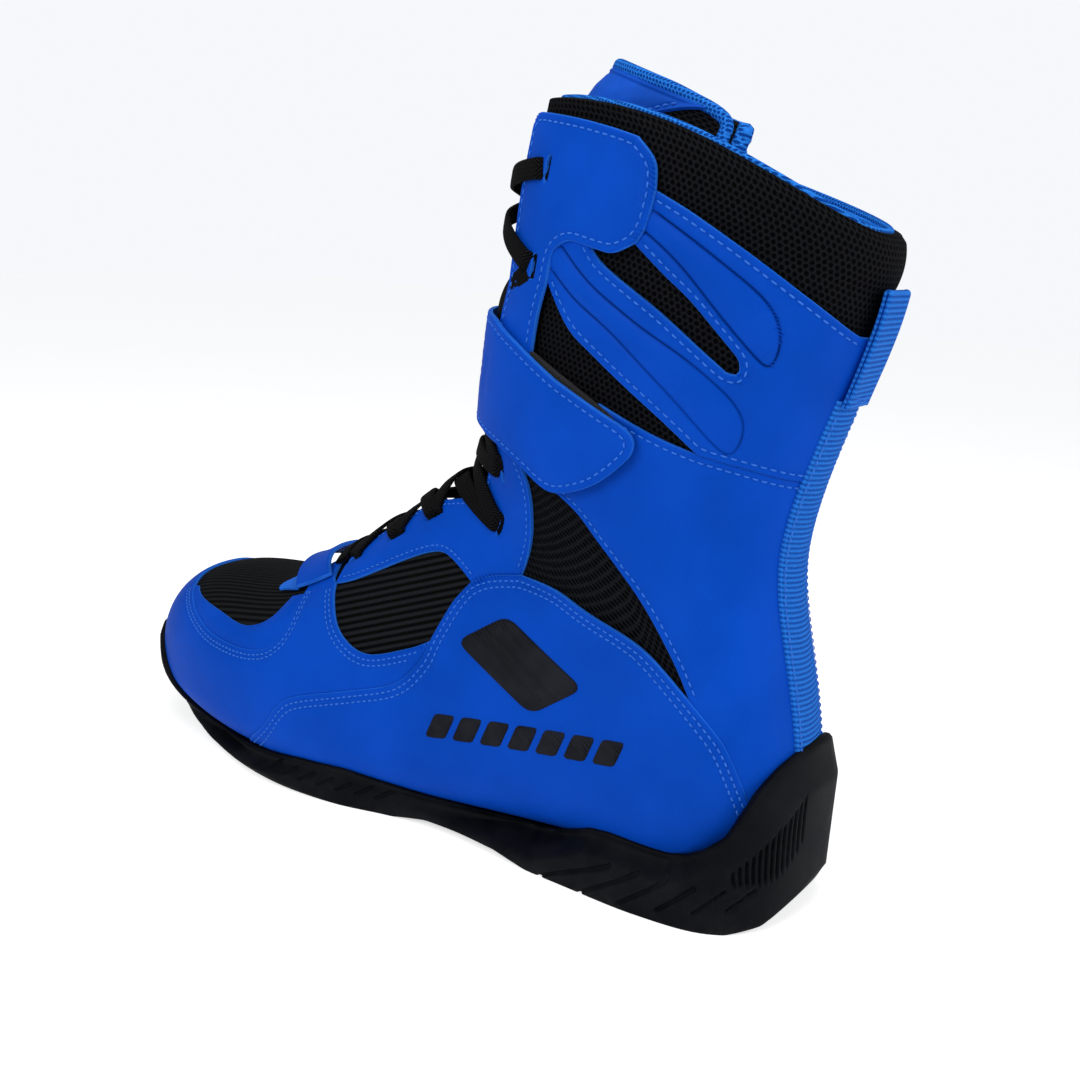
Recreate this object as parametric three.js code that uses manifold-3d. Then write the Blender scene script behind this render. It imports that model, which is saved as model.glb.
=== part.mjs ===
// Left boxing boot, in millimetres, +Z up.
// The toe points towards -Y, the heel towards +Y and the lateral (outer) side is +X.
// The origin is on the ground, under the middle of the heel.
import * as THREE from 'three';
import { mergeVertices } from 'three/addons/utils/BufferGeometryUtils.js';
import Module from 'manifold-3d';

const wasm = await Module();
wasm.setup();

// ---- driving dimensions -----------------------------------------------------------------
const MESH_THICKNESS = 1.8; // knitted spacer mesh of the bootie
const FILLER_THICKNESS = 1.2; // heel counter, toe puff and collar foam behind the mesh
const LINING_THICKNESS = 1.2;
const OVERLAY_THICKNESS = 1.2; // synthetic leather
const LAYER_GAP = 0.3; // free space between neighbouring layers
const SEAM_HALF_GAP = 0.4; // each panel stops this far short of its seam line
const COLLAR_PADDING = 3.0; // extra foam at the top edge
const STRAP_THICKNESS = 1.6;
const PATCH_THICKNESS = 0.8; // hook and loop tape
const LACE_WIDTH = 7;
const LACE_THICKNESS = 1.1;
const WEBBING_WIDTH = 20; // heel strip and pull loop
const SOLE_WALL = 2.4; // rubber wall of the cup sole
const SOCKLINER_THICKNESS = 3.4;

// Depths measured outwards from the outer face of the mesh bootie.
const MESH_INSIDE = -MESH_THICKNESS;
const FILLER_OUTSIDE = MESH_INSIDE - LAYER_GAP;
const FILLER_INSIDE = FILLER_OUTSIDE - FILLER_THICKNESS;
const LINING_OUTSIDE = FILLER_INSIDE - LAYER_GAP;
const LINING_INSIDE = LINING_OUTSIDE - LINING_THICKNESS;
const OVERLAY_INSIDE = LAYER_GAP;
const OVERLAY_OUTSIDE = OVERLAY_INSIDE + OVERLAY_THICKNESS;
const SECOND_INSIDE = OVERLAY_OUTSIDE + 2 * LAYER_GAP;
const SECOND_OUTSIDE = SECOND_INSIDE + OVERLAY_THICKNESS;
const SOLE_INSIDE = OVERLAY_OUTSIDE + LAYER_GAP;
const SOLE_OUTSIDE = SOLE_INSIDE + SOLE_WALL;

// ---- the last: the outer face of the bootie ---------------------------------------------
// Slanted slices from the toe tip to the collar. A slice runs from a point on the top and front
// line to a point on the sole and back line, both on the centre plane, given as [y, z].
// along: place of the slice; half: half-widths on the lateral and medial side;
// shift: sideways shift; widest: height of the widest place as a share of the slice;
// round: superellipse exponents of the front half and of the back half (2 is an ellipse).
const SLICES = [
  { along: 0, top: [-255, 34], bottom: [-255, 30], half: [0, 0], shift: -5, widest: 0.45, round: [2.3, 2.4] },
  { along: 8, top: [-254, 46], bottom: [-253, 18], half: [18, 18], shift: -5, widest: 0.42, round: [2.3, 2.6] },
  { along: 20, top: [-248, 57], bottom: [-246, 12], half: [30, 30], shift: -5, widest: 0.38, round: [2.3, 2.9] },
  { along: 45, top: [-226, 66], bottom: [-222, 9], half: [41, 40], shift: -4, widest: 0.34, round: [2.3, 3.2] },
  { along: 75, top: [-200, 69], bottom: [-188, 7], half: [47, 47], shift: -2, widest: 0.31, round: [2.25, 3.4] },
  { along: 110, top: [-175, 75], bottom: [-148, 6], half: [48, 48], shift: -1, widest: 0.31, round: [2.15, 3.5] },
  { along: 150, top: [-150, 91], bottom: [-101, 7], half: [43, 42], shift: 0, widest: 0.34, round: [2.05, 3.3] },
  { along: 190, top: [-129, 107], bottom: [-56, 9], half: [38, 36], shift: 0, widest: 0.36, round: [2, 3] },
  { along: 230, top: [-115, 119], bottom: [-14, 10], half: [35, 33], shift: 0, widest: 0.34, round: [2, 2.8] },
  { along: 265, top: [-106, 126], bottom: [17, 14], half: [34, 32], shift: 0, widest: 0.3, round: [2, 2.6] },
  { along: 292, top: [-100, 131], bottom: [34, 36], half: [33, 32], shift: 0, widest: 0.3, round: [2, 2.4] },
  { along: 318, top: [-97, 138], bottom: [34, 64], half: [33, 32], shift: 0, widest: 0.34, round: [2, 2.2] },
  { along: 350, top: [-94, 150], bottom: [27, 96], half: [33, 32], shift: 0, widest: 0.42, round: [2.1, 2] },
  { along: 380, top: [-92, 165], bottom: [24, 122], half: [34, 33], shift: 0, widest: 0.48, round: [2.2, 1.9] },
  { along: 415, top: [-89, 188], bottom: [30, 156], half: [36, 35], shift: 0, widest: 0.5, round: [2.3, 2] },
  { along: 450, top: [-86, 211], bottom: [38, 184], half: [38, 37], shift: 0, widest: 0.5, round: [2.3, 2.1] },
  { along: 490, top: [-82, 236], bottom: [43, 206], half: [39, 39], shift: 0, widest: 0.5, round: [2.4, 2.2] },
  { along: 530, top: [-77, 259], bottom: [44, 223], half: [39, 39], shift: 0, widest: 0.5, round: [2.5, 2.3] },
];
const COLLAR = SLICES[SLICES.length - 1].along;
const BACK = 180; // degrees around the boot

// Natural cubic spline through [place, value] pairs.
function spline(places, values) {
  const n = places.length;
  const bend = new Array(n).fill(0);
  const work = new Array(n).fill(0);
  for (let i = 1; i < n - 1; i++) {
    const share = (places[i] - places[i - 1]) / (places[i + 1] - places[i - 1]);
    const pivot = share * bend[i - 1] + 2;
    const slopeAfter = (values[i + 1] - values[i]) / (places[i + 1] - places[i]);
    const slopeBefore = (values[i] - values[i - 1]) / (places[i] - places[i - 1]);
    bend[i] = (share - 1) / pivot;
    work[i] = ((6 * (slopeAfter - slopeBefore)) / (places[i + 1] - places[i - 1]) - share * work[i - 1]) / pivot;
  }
  for (let i = n - 2; i >= 0; i--) bend[i] = bend[i] * bend[i + 1] + work[i];
  return (at) => {
    let i = 0;
    while (i < n - 2 && at > places[i + 1]) i++;
    const width = places[i + 1] - places[i];
    const a = (places[i + 1] - at) / width;
    const b = 1 - a;
    const curve = ((a ** 3 - a) * bend[i] + (b ** 3 - b) * bend[i + 1]) * (width ** 2 / 6);
    return a * values[i] + b * values[i + 1] + curve;
  };
}

function column(read) {
  return spline(SLICES.map((slice) => slice.along), SLICES.map(read));
}

const last = {
  topY: column((slice) => slice.top[0]),
  topZ: column((slice) => slice.top[1]),
  bottomY: column((slice) => slice.bottom[0]),
  bottomZ: column((slice) => slice.bottom[1]),
  lateral: column((slice) => slice.half[0]),
  medial: column((slice) => slice.half[1]),
  shift: column((slice) => slice.shift),
  widest: column((slice) => slice.widest),
  frontRound: column((slice) => slice.round[0]),
  backRound: column((slice) => slice.round[1]),
};

// A point of the bootie. Around is in degrees: 0 on the top and front line, 90 on the lateral
// side, 180 on the sole and back line, 270 (or -90) on the medial side.
function surface(along, around) {
  const angle = THREE.MathUtils.degToRad(around);
  const inFront = Math.cos(angle) >= 0;
  const power = 2 / (inFront ? last.frontRound(along) : last.backRound(along));
  const sideways = Math.abs(Math.sin(angle)) ** power;
  const lengthwise = Math.abs(Math.cos(angle)) ** power;
  const half = Math.sin(angle) >= 0 ? last.lateral(along) : -last.medial(along);
  const widest = last.widest(along);
  const share = inFront ? widest + (1 - widest) * lengthwise : widest * (1 - lengthwise);
  const bottomY = last.bottomY(along);
  const bottomZ = last.bottomZ(along);
  return new THREE.Vector3(
    last.shift(along) + half * sideways,
    bottomY + (last.topY(along) - bottomY) * share,
    bottomZ + (last.topZ(along) - bottomZ) * share,
  );
}

// The outward direction of the bootie at a point.
function outward(along, around) {
  const step = 0.5;
  const turn = surface(along, around + step).sub(surface(along, around - step));
  const run = surface(along + step, around).sub(surface(along - step, around));
  return turn.cross(run).normalize();
}

function offset(along, around, depth) {
  return surface(along, around).addScaledVector(outward(along, around), depth);
}

// ---- solids -----------------------------------------------------------------------------
// A closed body from a list of corner points and a list of triangles.
function body(points, triangles) {
  const geometry = new THREE.BufferGeometry();
  geometry.setAttribute('position', new THREE.Float32BufferAttribute(points.flatMap((p) => p.toArray()), 3));
  geometry.setIndex(triangles);
  return solid(geometry);
}

function solid(geometry) {
  const plain = geometry.index ? geometry.clone() : mergeVertices(geometry);
  plain.deleteAttribute('normal');
  plain.deleteAttribute('uv');
  const merged = mergeVertices(plain);
  return new wasm.Manifold(new wasm.Mesh({
    numProp: 3,
    vertProperties: new Float32Array(merged.attributes.position.array),
    triVerts: new Uint32Array(merged.index.array),
  }));
}

// Joins two rows of points that face each other into a strip of triangles.
function strip(triangles, first, second, closed) {
  const count = closed ? first.length : first.length - 1;
  for (let i = 0; i < count; i++) {
    const next = (i + 1) % first.length;
    triangles.push(first[i], first[next], second[next], first[i], second[next], second[i]);
  }
}

const ALONG_STEPS = [
  8, 22, 42, 66, 92, 120, 148, 176, 204, 232, 258, 280, 300, 320, 340, 360, 382, 410, 440, 470, 500, COLLAR,
];
const AROUND_COUNT = 20;

// The collar's edge bows up on the lateral side.
const RIM_RISE = 18.5;
const RIM_RISE_REACH = 78; // degrees to each side of the lateral line

function rim(around) {
  const away = (around > 180 ? around - 360 : around) - 90;
  if (Math.abs(away) > RIM_RISE_REACH) return COLLAR;
  return COLLAR + RIM_RISE * Math.cos(THREE.MathUtils.degToRad((away * 90) / RIM_RISE_REACH)) ** 2;
}

// The places of one row of the bootie, all the way round.
function ring(along, depth) {
  return Array.from({ length: AROUND_COUNT }, (unused, i) => {
    const around = (i * 360) / AROUND_COUNT;
    return offset(along === COLLAR ? rim(around) : along, around, depth);
  });
}

// The whole bootie between two depths: closed at the toe and open at the collar.
// A depth is a number or a function of the place along the boot.
function shell(inner, outer) {
  const points = [];
  const triangles = [];
  const rows = [outer, inner].map((depth) => {
    const depthAt = typeof depth === 'number' ? () => depth : depth;
    const tip = points.push(new THREE.Vector3(last.shift(0), last.topY(0) - depthAt(0), last.topZ(2))) - 1;
    const rings = ALONG_STEPS.map((along) => ring(along, depthAt(along)).map((point) => points.push(point) - 1));
    return { tip, rings };
  });
  rows.forEach(({ tip, rings }, side) => {
    const found = [];
    for (let i = 0; i < AROUND_COUNT; i++) found.push(tip, rings[0][i], rings[0][(i + 1) % AROUND_COUNT]);
    for (let j = 1; j < rings.length; j++) strip(found, rings[j], rings[j - 1], true);
    triangles.push(...(side === 0 ? flipped(found) : found));
  });
  const rim = [];
  strip(rim, rows[0].rings.at(-1), rows[1].rings.at(-1), true);
  triangles.push(...rim);
  return body(points, triangles);
}

function flipped(triangles) {
  const result = [];
  for (let i = 0; i < triangles.length; i += 3) result.push(triangles[i], triangles[i + 2], triangles[i + 1]);
  return result;
}

// A bent plate: a grid of places on the bootie, thickened between two depths.
// place(u, v) gives { along, around, inner, outer } for u and v from 0 to 1.
function plate(columns, rows, place) {
  const points = [];
  const grids = ['outer', 'inner'].map((side) => Array.from({ length: rows + 1 }, (unused, j) => (
    Array.from({ length: columns + 1 }, (also, i) => {
      const spot = place(i / columns, j / rows);
      return points.push(offset(spot.along, spot.around, spot[side])) - 1;
    })
  )));
  const triangles = [];
  const [outer, inner] = grids;
  for (let j = 0; j < rows; j++) {
    strip(triangles, outer[j], outer[j + 1], false);
    strip(triangles, inner[j + 1], inner[j], false);
  }
  strip(triangles, inner[0], outer[0], false);
  strip(triangles, outer[rows], inner[rows], false);
  const left = (grid) => grid.map((row) => row[0]);
  const right = (grid) => grid.map((row) => row[columns]);
  strip(triangles, left(outer), left(inner), false);
  strip(triangles, right(inner), right(outer), false);
  return facingOut(points, triangles);
}

// A closed body whose faces point out, whichever way its grid was laid.
function facingOut(points, triangles) {
  let volume = 0;
  for (let i = 0; i < triangles.length; i += 3) {
    const [a, b, c] = [0, 1, 2].map((k) => points[triangles[i + k]]);
    volume += a.dot(b.clone().cross(c));
  }
  return body(points, volume > 0 ? triangles : flipped(triangles));
}

// A flat band of even width and thickness along a path of { centre, normal } places.
function ribbon(places, width, thickness) {
  const points = [];
  const rows = places.map(({ centre, normal }, i) => {
    const before = places[Math.max(i - 1, 0)].centre;
    const after = places[Math.min(i + 1, places.length - 1)].centre;
    const side = after.clone().sub(before).cross(normal).normalize().multiplyScalar(width / 2);
    const rise = normal.clone().multiplyScalar(thickness / 2);
    const corners = [side.clone().add(rise), side.clone().sub(rise), side.clone().negate().sub(rise)];
    corners.push(side.clone().negate().add(rise));
    return corners.map((corner) => points.push(centre.clone().add(corner)) - 1);
  });
  const triangles = [];
  for (let i = 1; i < rows.length; i++) strip(triangles, rows[i - 1], rows[i], true);
  const [start, end] = [rows[0], rows.at(-1)];
  triangles.push(start[0], start[2], start[1], start[0], start[3], start[2]);
  triangles.push(end[0], end[1], end[2], end[0], end[2], end[3]);
  return facingOut(points, triangles);
}

// ---- outlines ---------------------------------------------------------------------------
const SIDE_VIEW = new THREE.Matrix4().makeBasis(
  new THREE.Vector3(0, 1, 0), new THREE.Vector3(0, 0, 1), new THREE.Vector3(1, 0, 0),
);
const FRONT_VIEW = new THREE.Matrix4().makeBasis(
  new THREE.Vector3(1, 0, 0), new THREE.Vector3(0, 0, 1), new THREE.Vector3(0, -1, 0),
);
const REACH = 90; // further than any side of the boot

// Joins smooth runs of points, with a corner wherever one run ends and the next begins.
function outline(runs, shrinkBy = 0) {
  const points = [];
  for (const run of runs) {
    const corners = run.map(([a, b]) => new THREE.Vector2(a, b));
    const count = run.length > 2 ? Math.round((run.length - 1) * 1.5) : 1;
    points.push(...new THREE.SplineCurve(corners).getPoints(count));
  }
  const clean = points.filter((point, i) => point.distanceTo(points[(i + 1) % points.length]) > 0.01);
  const turn = THREE.ShapeUtils.isClockWise(clean) ? -1 : 1;
  return clean.map((point, i) => {
    const before = clean[(i + clean.length - 1) % clean.length];
    const after = clean[(i + 1) % clean.length];
    const inwards = (from, to) => new THREE.Vector2(from.y - to.y, to.x - from.x).normalize();
    const first = inwards(before, point);
    const second = inwards(point, after);
    const middle = first.clone().add(second).normalize();
    const stretch = Math.min(1 / Math.max(middle.dot(first), 0.4), 2.5);
    return point.clone().addScaledVector(middle, turn * shrinkBy * stretch);
  });
}

function prism(points, view, from, to) {
  const geometry = new THREE.ExtrudeGeometry(new THREE.Shape(points), { depth: to - from, bevelEnabled: false });
  geometry.translate(0, 0, from);
  geometry.applyMatrix4(view);
  return solid(geometry);
}

// The prism of a side-view outline on one side (1 lateral, -1 medial) or through both (0).
function sideCut(runs, side, shrinkBy = SEAM_HALF_GAP, clear = 0.5) {
  const points = outline(runs, shrinkBy);
  if (side === 0) return prism(points, SIDE_VIEW, -REACH, REACH);
  return side > 0 ? prism(points, SIDE_VIEW, clear, REACH) : prism(points, SIDE_VIEW, -REACH, -clear);
}

const reversed = (run) => [...run].reverse();

function sideRectangle(fromY, toY, fromZ, toZ) {
  const corners = [[fromY, fromZ], [toY, fromZ], [toY, toZ], [fromY, toZ]];
  return corners.map((corner, i) => [corner, corners[(i + 1) % corners.length]]);
}

// Half-width of the lacing gap at a height: narrow on the instep, wide at the collar.
const THROAT = [
  [0, 80], [6, 83], [8, 90], [8.5, 112], [14, 120], [16, 130], [17, 150], [21, 175], [26, 200], [27, 275],
];

const THROAT_START = 50; // in front of the origin
const THROAT_END = 300;

function throatCut(widen) {
  const right = THROAT.map(([x, z]) => [x + widen, z]);
  const left = reversed(THROAT).map(([x, z]) => [-x - widen, z]);
  const points = [...right, ...left].map(([x, z]) => new THREE.Vector2(x, z));
  return prism(points, FRONT_VIEW, THROAT_START, THROAT_END);
}

const MESH_EDGE = 1; // the mesh stops this far behind the eyestay edge
const throat = throatCut(0);
const meshThroat = throatCut(MESH_EDGE);
const overlayShell = shell(OVERLAY_INSIDE, OVERLAY_OUTSIDE);
const openOverlayShell = overlayShell.subtract(throat);

// ---- materials --------------------------------------------------------------------------
function finish(color, roughness) {
  return new THREE.MeshStandardMaterial({ color, roughness, metalness: 0 });
}
const BLUE_LEATHER = finish('#1f5fb8', 0.45);
const BLUE_WEBBING = finish('#2a6fc4', 0.75);
const LIGHT_BLUE_FABRIC = finish('#6fa8dc', 0.85);
const BLACK_MESH = finish('#17181b', 0.9);
const BLACK_RIB = finish('#101114', 0.85);
const BLACK_RUBBER = finish('#141416', 0.7);
const BLACK_LACE = finish('#0e0e10', 0.8);
const BLACK_HOOK = finish('#121214', 0.95);
const WHITE_FOAM = finish('#c9c9c4', 0.9);
const BOARD_GREY = finish('#8c8a84', 0.9);

const group = new THREE.Group();

function add(name, shape, material) {
  const mesh = shape.getMesh();
  const geometry = new THREE.BufferGeometry();
  geometry.setAttribute('position', new THREE.Float32BufferAttribute(mesh.vertProperties, mesh.numProp));
  geometry.setIndex(Array.from(mesh.triVerts));
  geometry.computeVertexNormals();
  const node = new THREE.Mesh(geometry, material);
  node.name = name;
  group.add(node);
}

const SIDES = [['lateral', 1], ['medial', -1]];

// ---- bootie: mesh, lining and the stiffeners between them -------------------------------
const PADDING_START = 440; // the lining stands further in from here up to the collar
const HEEL_COUNTER = [[[60, 20], [60, 66], [30, 66]], [[30, 66], [8, 58], [-18, 34], [-24, 20]], [[-24, 20], [60, 20]]];
const TOE_PUFF = [
  [[-290, 20], [-290, 90], [-205, 90]], [[-205, 90], [-212, 60], [-206, 20]], [[-206, 20], [-290, 20]],
];
const COLLAR_FOAM = [[[-120, 222], [-120, 300], [80, 300], [80, 184]], [[80, 184], [-120, 222]]];

function padded(depth) {
  return (along) => depth - COLLAR_PADDING * THREE.MathUtils.smoothstep(along, PADDING_START, COLLAR);
}

function buildBootie() {
  add('mesh_upper', shell(MESH_INSIDE, 0).subtract(meshThroat), BLACK_MESH);
  add('lining', shell(padded(LINING_INSIDE), padded(LINING_OUTSIDE)).subtract(meshThroat), LIGHT_BLUE_FABRIC);
  const filler = shell(padded(FILLER_INSIDE), FILLER_OUTSIDE);
  add('heel_counter', filler.intersect(sideCut(HEEL_COUNTER, 0)), BOARD_GREY);
  add('toe_puff', filler.intersect(sideCut(TOE_PUFF, 0)), BOARD_GREY);
  add('collar_foam', filler.subtract(meshThroat).intersect(sideCut(COLLAR_FOAM, 0)), WHITE_FOAM);
}

// ---- side panels ------------------------------------------------------------------------
// Seam lines in side view, [y, z]. Two panels that meet share the same line.
const SEAM = {
  quarterFront: [[-184, 7], [-166, 21], [-158, 32], [-150, 38], [-126, 46], [-107, 53], [-98, 63], [-95.5, 71]],
  quarterMiddle: [[-95.5, 71], [-92.5, 79], [-89, 87], [-84, 94]],
  quarterInstep: [[-84, 94], [-76, 98], [-63, 101.3]],
  quarterAnkle: [[-63, 101.3], [-47, 100], [-34, 96], [-11, 89], [6, 76]],
  quarterHeel: [[6, 76], [18, 63], [25, 48], [28, 38]],
  windowFront: [[-95.5, 71], [-105, 66], [-122, 60.5], [-136, 65], [-146, 75], [-149, 79]],
  eyestayBottom: [[-149, 79], [-138, 83.5], [-117, 95], [-106, 100], [-99, 101], [-91, 98], [-84, 94]],
  eyestayRear: [[-63, 101.3], [-60, 114], [-60, 124], [-62, 133], [-67, 141], [-74, 149]],
  ankleFront: [[-49, 134], [-40, 129], [-31, 121], [-14, 105], [-1, 88], [6, 76]],
  clawBottom: [[0, 154], [13, 151], [25, 147.5], [60, 146]],
  flapLower: [[-60, 178], [-58, 191], [-54.5, 203]],
  flapFinger: [[-54.5, 203], [-53.5, 209], [-51, 213.5], [-46, 215.5], [-41, 214.8]],
  flapGap: [[-41, 214.8], [-35, 213.6], [-29, 213], [-21.5, 216.5]],
  flapCorner: [[-21.5, 216.5], [-18.5, 222], [-16.5, 231.5]],
};

const soleLine = [
  [-262, 44], [-255, 39], [-245, 32], [-232, 24], [-219, 17.5], [-203, 13.5], [-185, 11.5], [-165, 11],
  [-145, 12], [-127, 13.5], [-114, 13.5], [-104, 11.5], [-92, 10.5], [-70, 12.5], [-50, 15], [-41, 17],
  [-33, 20.5], [-24, 21], [-10, 19], [1, 19], [8, 23], [14, 30], [20, 38.5], [26, 47], [32, 54.5], [38, 61], [48, 66],
];
const TUCK = 3; // how far a panel runs down inside the sole wall
const tuckLine = (from, to) => soleLine.filter(([y]) => y > from && y < to).map(([y, z]) => [y, z - TUCK]);

function buildQuarters(name, side) {
  const bottom = [[28, 38], ...reversed(tuckLine(-182, 18)), [-184, 7]];
  const edges = [SEAM.quarterFront, SEAM.quarterMiddle, SEAM.quarterInstep, SEAM.quarterAnkle, SEAM.quarterHeel];
  add(`quarter_${name}`, overlayShell.intersect(sideCut([...edges, bottom], side)), BLUE_LEATHER);
  const rear = [
    SEAM.ankleFront, SEAM.quarterHeel, [[28, 38], [60, 38]], [[60, 38], [60, 146]], reversed(SEAM.clawBottom),
    [[0, 154], [-14, 158.5], [-33, 166]], [[-33, 166], [-54, 152]], [[-54, 152], [-49, 134]],
  ];
  add(`rear_quarter_${name}`, overlayShell.intersect(sideCut(rear, side)), BLUE_LEATHER);
}

function buildSideWindow(name, side) {
  const edges = [SEAM.quarterMiddle, reversed(SEAM.eyestayBottom), reversed(SEAM.windowFront)];
  add(`side_window_${name}`, overlayShell.intersect(sideCut(edges, side)), BLACK_RIB);
}

// The two-fingered panel that wraps the shaft and reaches round to the heel strip.
function buildClaw(name, side) {
  const edges = [
    [[-16.5, 231.5], [-4, 225.5], [15, 214], [31, 202], [40, 193]], [[40, 193], [60, 193]], [[60, 193], [60, 146]],
    reversed(SEAM.clawBottom), [[0, 154], [-13, 165], [-34, 180], [-44, 187], [-50, 194], [-54.5, 203]],
    SEAM.flapFinger,
    [[-41, 214.8], [-34, 209.5], [-13, 196.5], [2, 185], [7.5, 180.5]],
    [[7.5, 180.5], [11, 180], [11.5, 183]],
    [[11.5, 183], [9, 187], [-3, 200], [-13, 208], [-21.5, 216.5]],
    SEAM.flapCorner,
  ];
  add(`shaft_panel_${name}`, overlayShell.intersect(sideCut(edges, side)), BLUE_LEATHER);
}

// Slots for the lace, as places on the bootie from the bottom up.
const LACE_ROWS = [
  { along: 152, around: 24 }, { along: 186, around: 24 }, { along: 226, around: 25 }, { along: 296, around: 42 },
  { along: 338, around: 42 }, { along: 452, around: 57 }, { along: 502, around: 56 },
];
const SLOT_LENGTH = LACE_WIDTH + 1.4;
const SLOT_WIDTH = 2.6;
const SLOT_DEPTH = 6;

function slot(row, side) {
  const centre = offset(row.along, side * row.around, OVERLAY_OUTSIDE);
  const lengthwise = offset(row.along + 2, side * row.around, OVERLAY_OUTSIDE).sub(centre).normalize();
  const up = outward(row.along, side * row.around);
  const across = up.clone().cross(lengthwise).normalize();
  const turned = new THREE.Matrix4().makeBasis(across, up.clone().cross(across), up).setPosition(centre);
  return solid(new THREE.BoxGeometry(SLOT_WIDTH, SLOT_LENGTH, SLOT_DEPTH).applyMatrix4(turned));
}

function buildEyestays(name, side) {
  const lower = [
    SEAM.eyestayBottom, SEAM.quarterInstep, SEAM.eyestayRear, [[-74, 149], [-120, 152]],
    [[-120, 152], [-135, 128], [-158, 105], [-158, 86]], [[-158, 86], [-152.5, 80], [-149, 79]],
  ];
  let panel = openOverlayShell.intersect(sideCut(lower, side));
  for (const row of LACE_ROWS.slice(0, 5)) panel = panel.subtract(slot(row, side));
  add(`lower_eyestay_${name}`, panel, BLUE_LEATHER);
  const flap = [
    SEAM.flapLower, SEAM.flapFinger, SEAM.flapGap, SEAM.flapCorner, [[-16.5, 231.5], [-18, 240], [-24, 245], [-38, 260]],
    [[-38, 260], [-110, 272]], [[-110, 272], [-110, 178]], [[-110, 178], [-60, 178]],
  ];
  panel = openOverlayShell.intersect(sideCut(flap, side));
  for (const row of LACE_ROWS.slice(5)) panel = panel.subtract(slot(row, side));
  add(`upper_eyestay_${name}`, panel, BLUE_LEATHER);
}

// ---- toe --------------------------------------------------------------------------------
const TOE_WINDOW = [
  [-238, 63], [-232, 59], [-224, 57.5], [-205, 56.5], [-190, 55.5], [-181, 57.5], [-175, 62], [-172, 69],
];
const TOE_RIM = [
  [-234, 57], [-222, 53], [-206, 49], [-190, 48], [-177, 49], [-168, 52.5], [-163.5, 60], [-165, 72],
];
const TOE_TOP = 90;
const WINDOW_START = [-238, TOE_TOP];
const WINDOW_END = [-171, TOE_TOP]; // under the vamp band
const VAMP_FRONT = [-290, 110];
const RIM_CLEAR = 4; // the two rim pieces stop short of the middle

// The band that crosses the vamp in front of the lacing, and the tab that reaches forward from it.
const BAND = { from: 113, to: 141, reach: 30, lift: 3, thickness: 1.6 };
const TAB = { from: 97, to: 112, left: 18, right: 29 };

function buildToe() {
  const overTop = [[WINDOW_END, WINDOW_START], [WINDOW_START, TOE_WINDOW[0]]];
  const window = [TOE_WINDOW, [TOE_WINDOW.at(-1), WINDOW_END], ...overTop];
  const rimOuter = [TOE_RIM, [TOE_RIM.at(-1), TOE_WINDOW.at(-1)]];
  const rimPiece = [...rimOuter, reversed(TOE_WINDOW.slice(1)), [TOE_WINDOW[1], TOE_RIM[0]]];
  const rimOpening = [TOE_RIM, [TOE_RIM.at(-1), WINDOW_END], ...overTop];
  const vamp = [
    SEAM.quarterFront, SEAM.windowFront, [[-149, 79], [-152.5, 80], [-158, 86]], [[-158, 86], [-158, 110]],
    [[-158, 110], VAMP_FRONT], [VAMP_FRONT, [-290, 40]], [[-290, 40], ...tuckLine(-260, -186), [-184, 7]],
  ];
  const toeCap = openOverlayShell.intersect(sideCut(vamp, 0)).subtract(sideCut(rimOpening, 0, -SEAM_HALF_GAP));
  add('toe_cap', toeCap, BLUE_LEATHER);
  add('toe_window', overlayShell.intersect(sideCut(window, 0)), BLACK_RIB);
  for (const [name, side] of SIDES) {
    add(`toe_rim_${name}`, overlayShell.intersect(sideCut(rimPiece, side, SEAM_HALF_GAP, RIM_CLEAR)), BLUE_LEATHER);
  }
  add('vamp_band', plate(10, 3, (u, v) => {
    const around = THREE.MathUtils.lerp(-BAND.reach, BAND.reach, u);
    const inner = SECOND_INSIDE + BAND.lift * Math.sin(Math.PI * u);
    return { along: THREE.MathUtils.lerp(BAND.from, BAND.to, v), around, inner, outer: inner + BAND.thickness };
  }), BLUE_LEATHER);
  add('vamp_tab', plate(3, 3, (u, v) => {
    const middle = (TAB.left + TAB.right) / 2;
    const half = ((TAB.right - TAB.left) / 2) * (0.45 + 0.55 * v);
    return {
      along: THREE.MathUtils.lerp(TAB.from, TAB.to, v),
      around: THREE.MathUtils.lerp(middle + half, middle - half, u),
      inner: SECOND_INSIDE,
      outer: SECOND_OUTSIDE,
    };
  }), BLUE_LEATHER);
}

// ---- tongue -----------------------------------------------------------------------------
const TONGUE_START = 148;
const TONGUE_FOOT_REACH = 34; // degrees to each side at the start
const TONGUE_HINGE = 512; // where the tongue starts to fold forward
const HINGE_HALF_GAP = 0.4;
const TONGUE_TOP = 565;
const TONGUE_LATERAL_RISE = 14; // the lateral wing stands higher
const TONGUE_MEDIAL_DROP = 10;
const TONGUE_LATERAL_WING = 88; // degrees around the boot
const TONGUE_MEDIAL_WING = -60;
const TONGUE_LEAN = 9.5; // the free top leans into the opening
const TONGUE_OUTSIDE = LINING_INSIDE - 4 * LAYER_GAP;
const TONGUE_THICKNESS = 3.6;
const TONGUE_BULGE = 2.6; // the padding rises into the lacing gap
const TONGUE_BULGE_REACH = 14;

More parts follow.
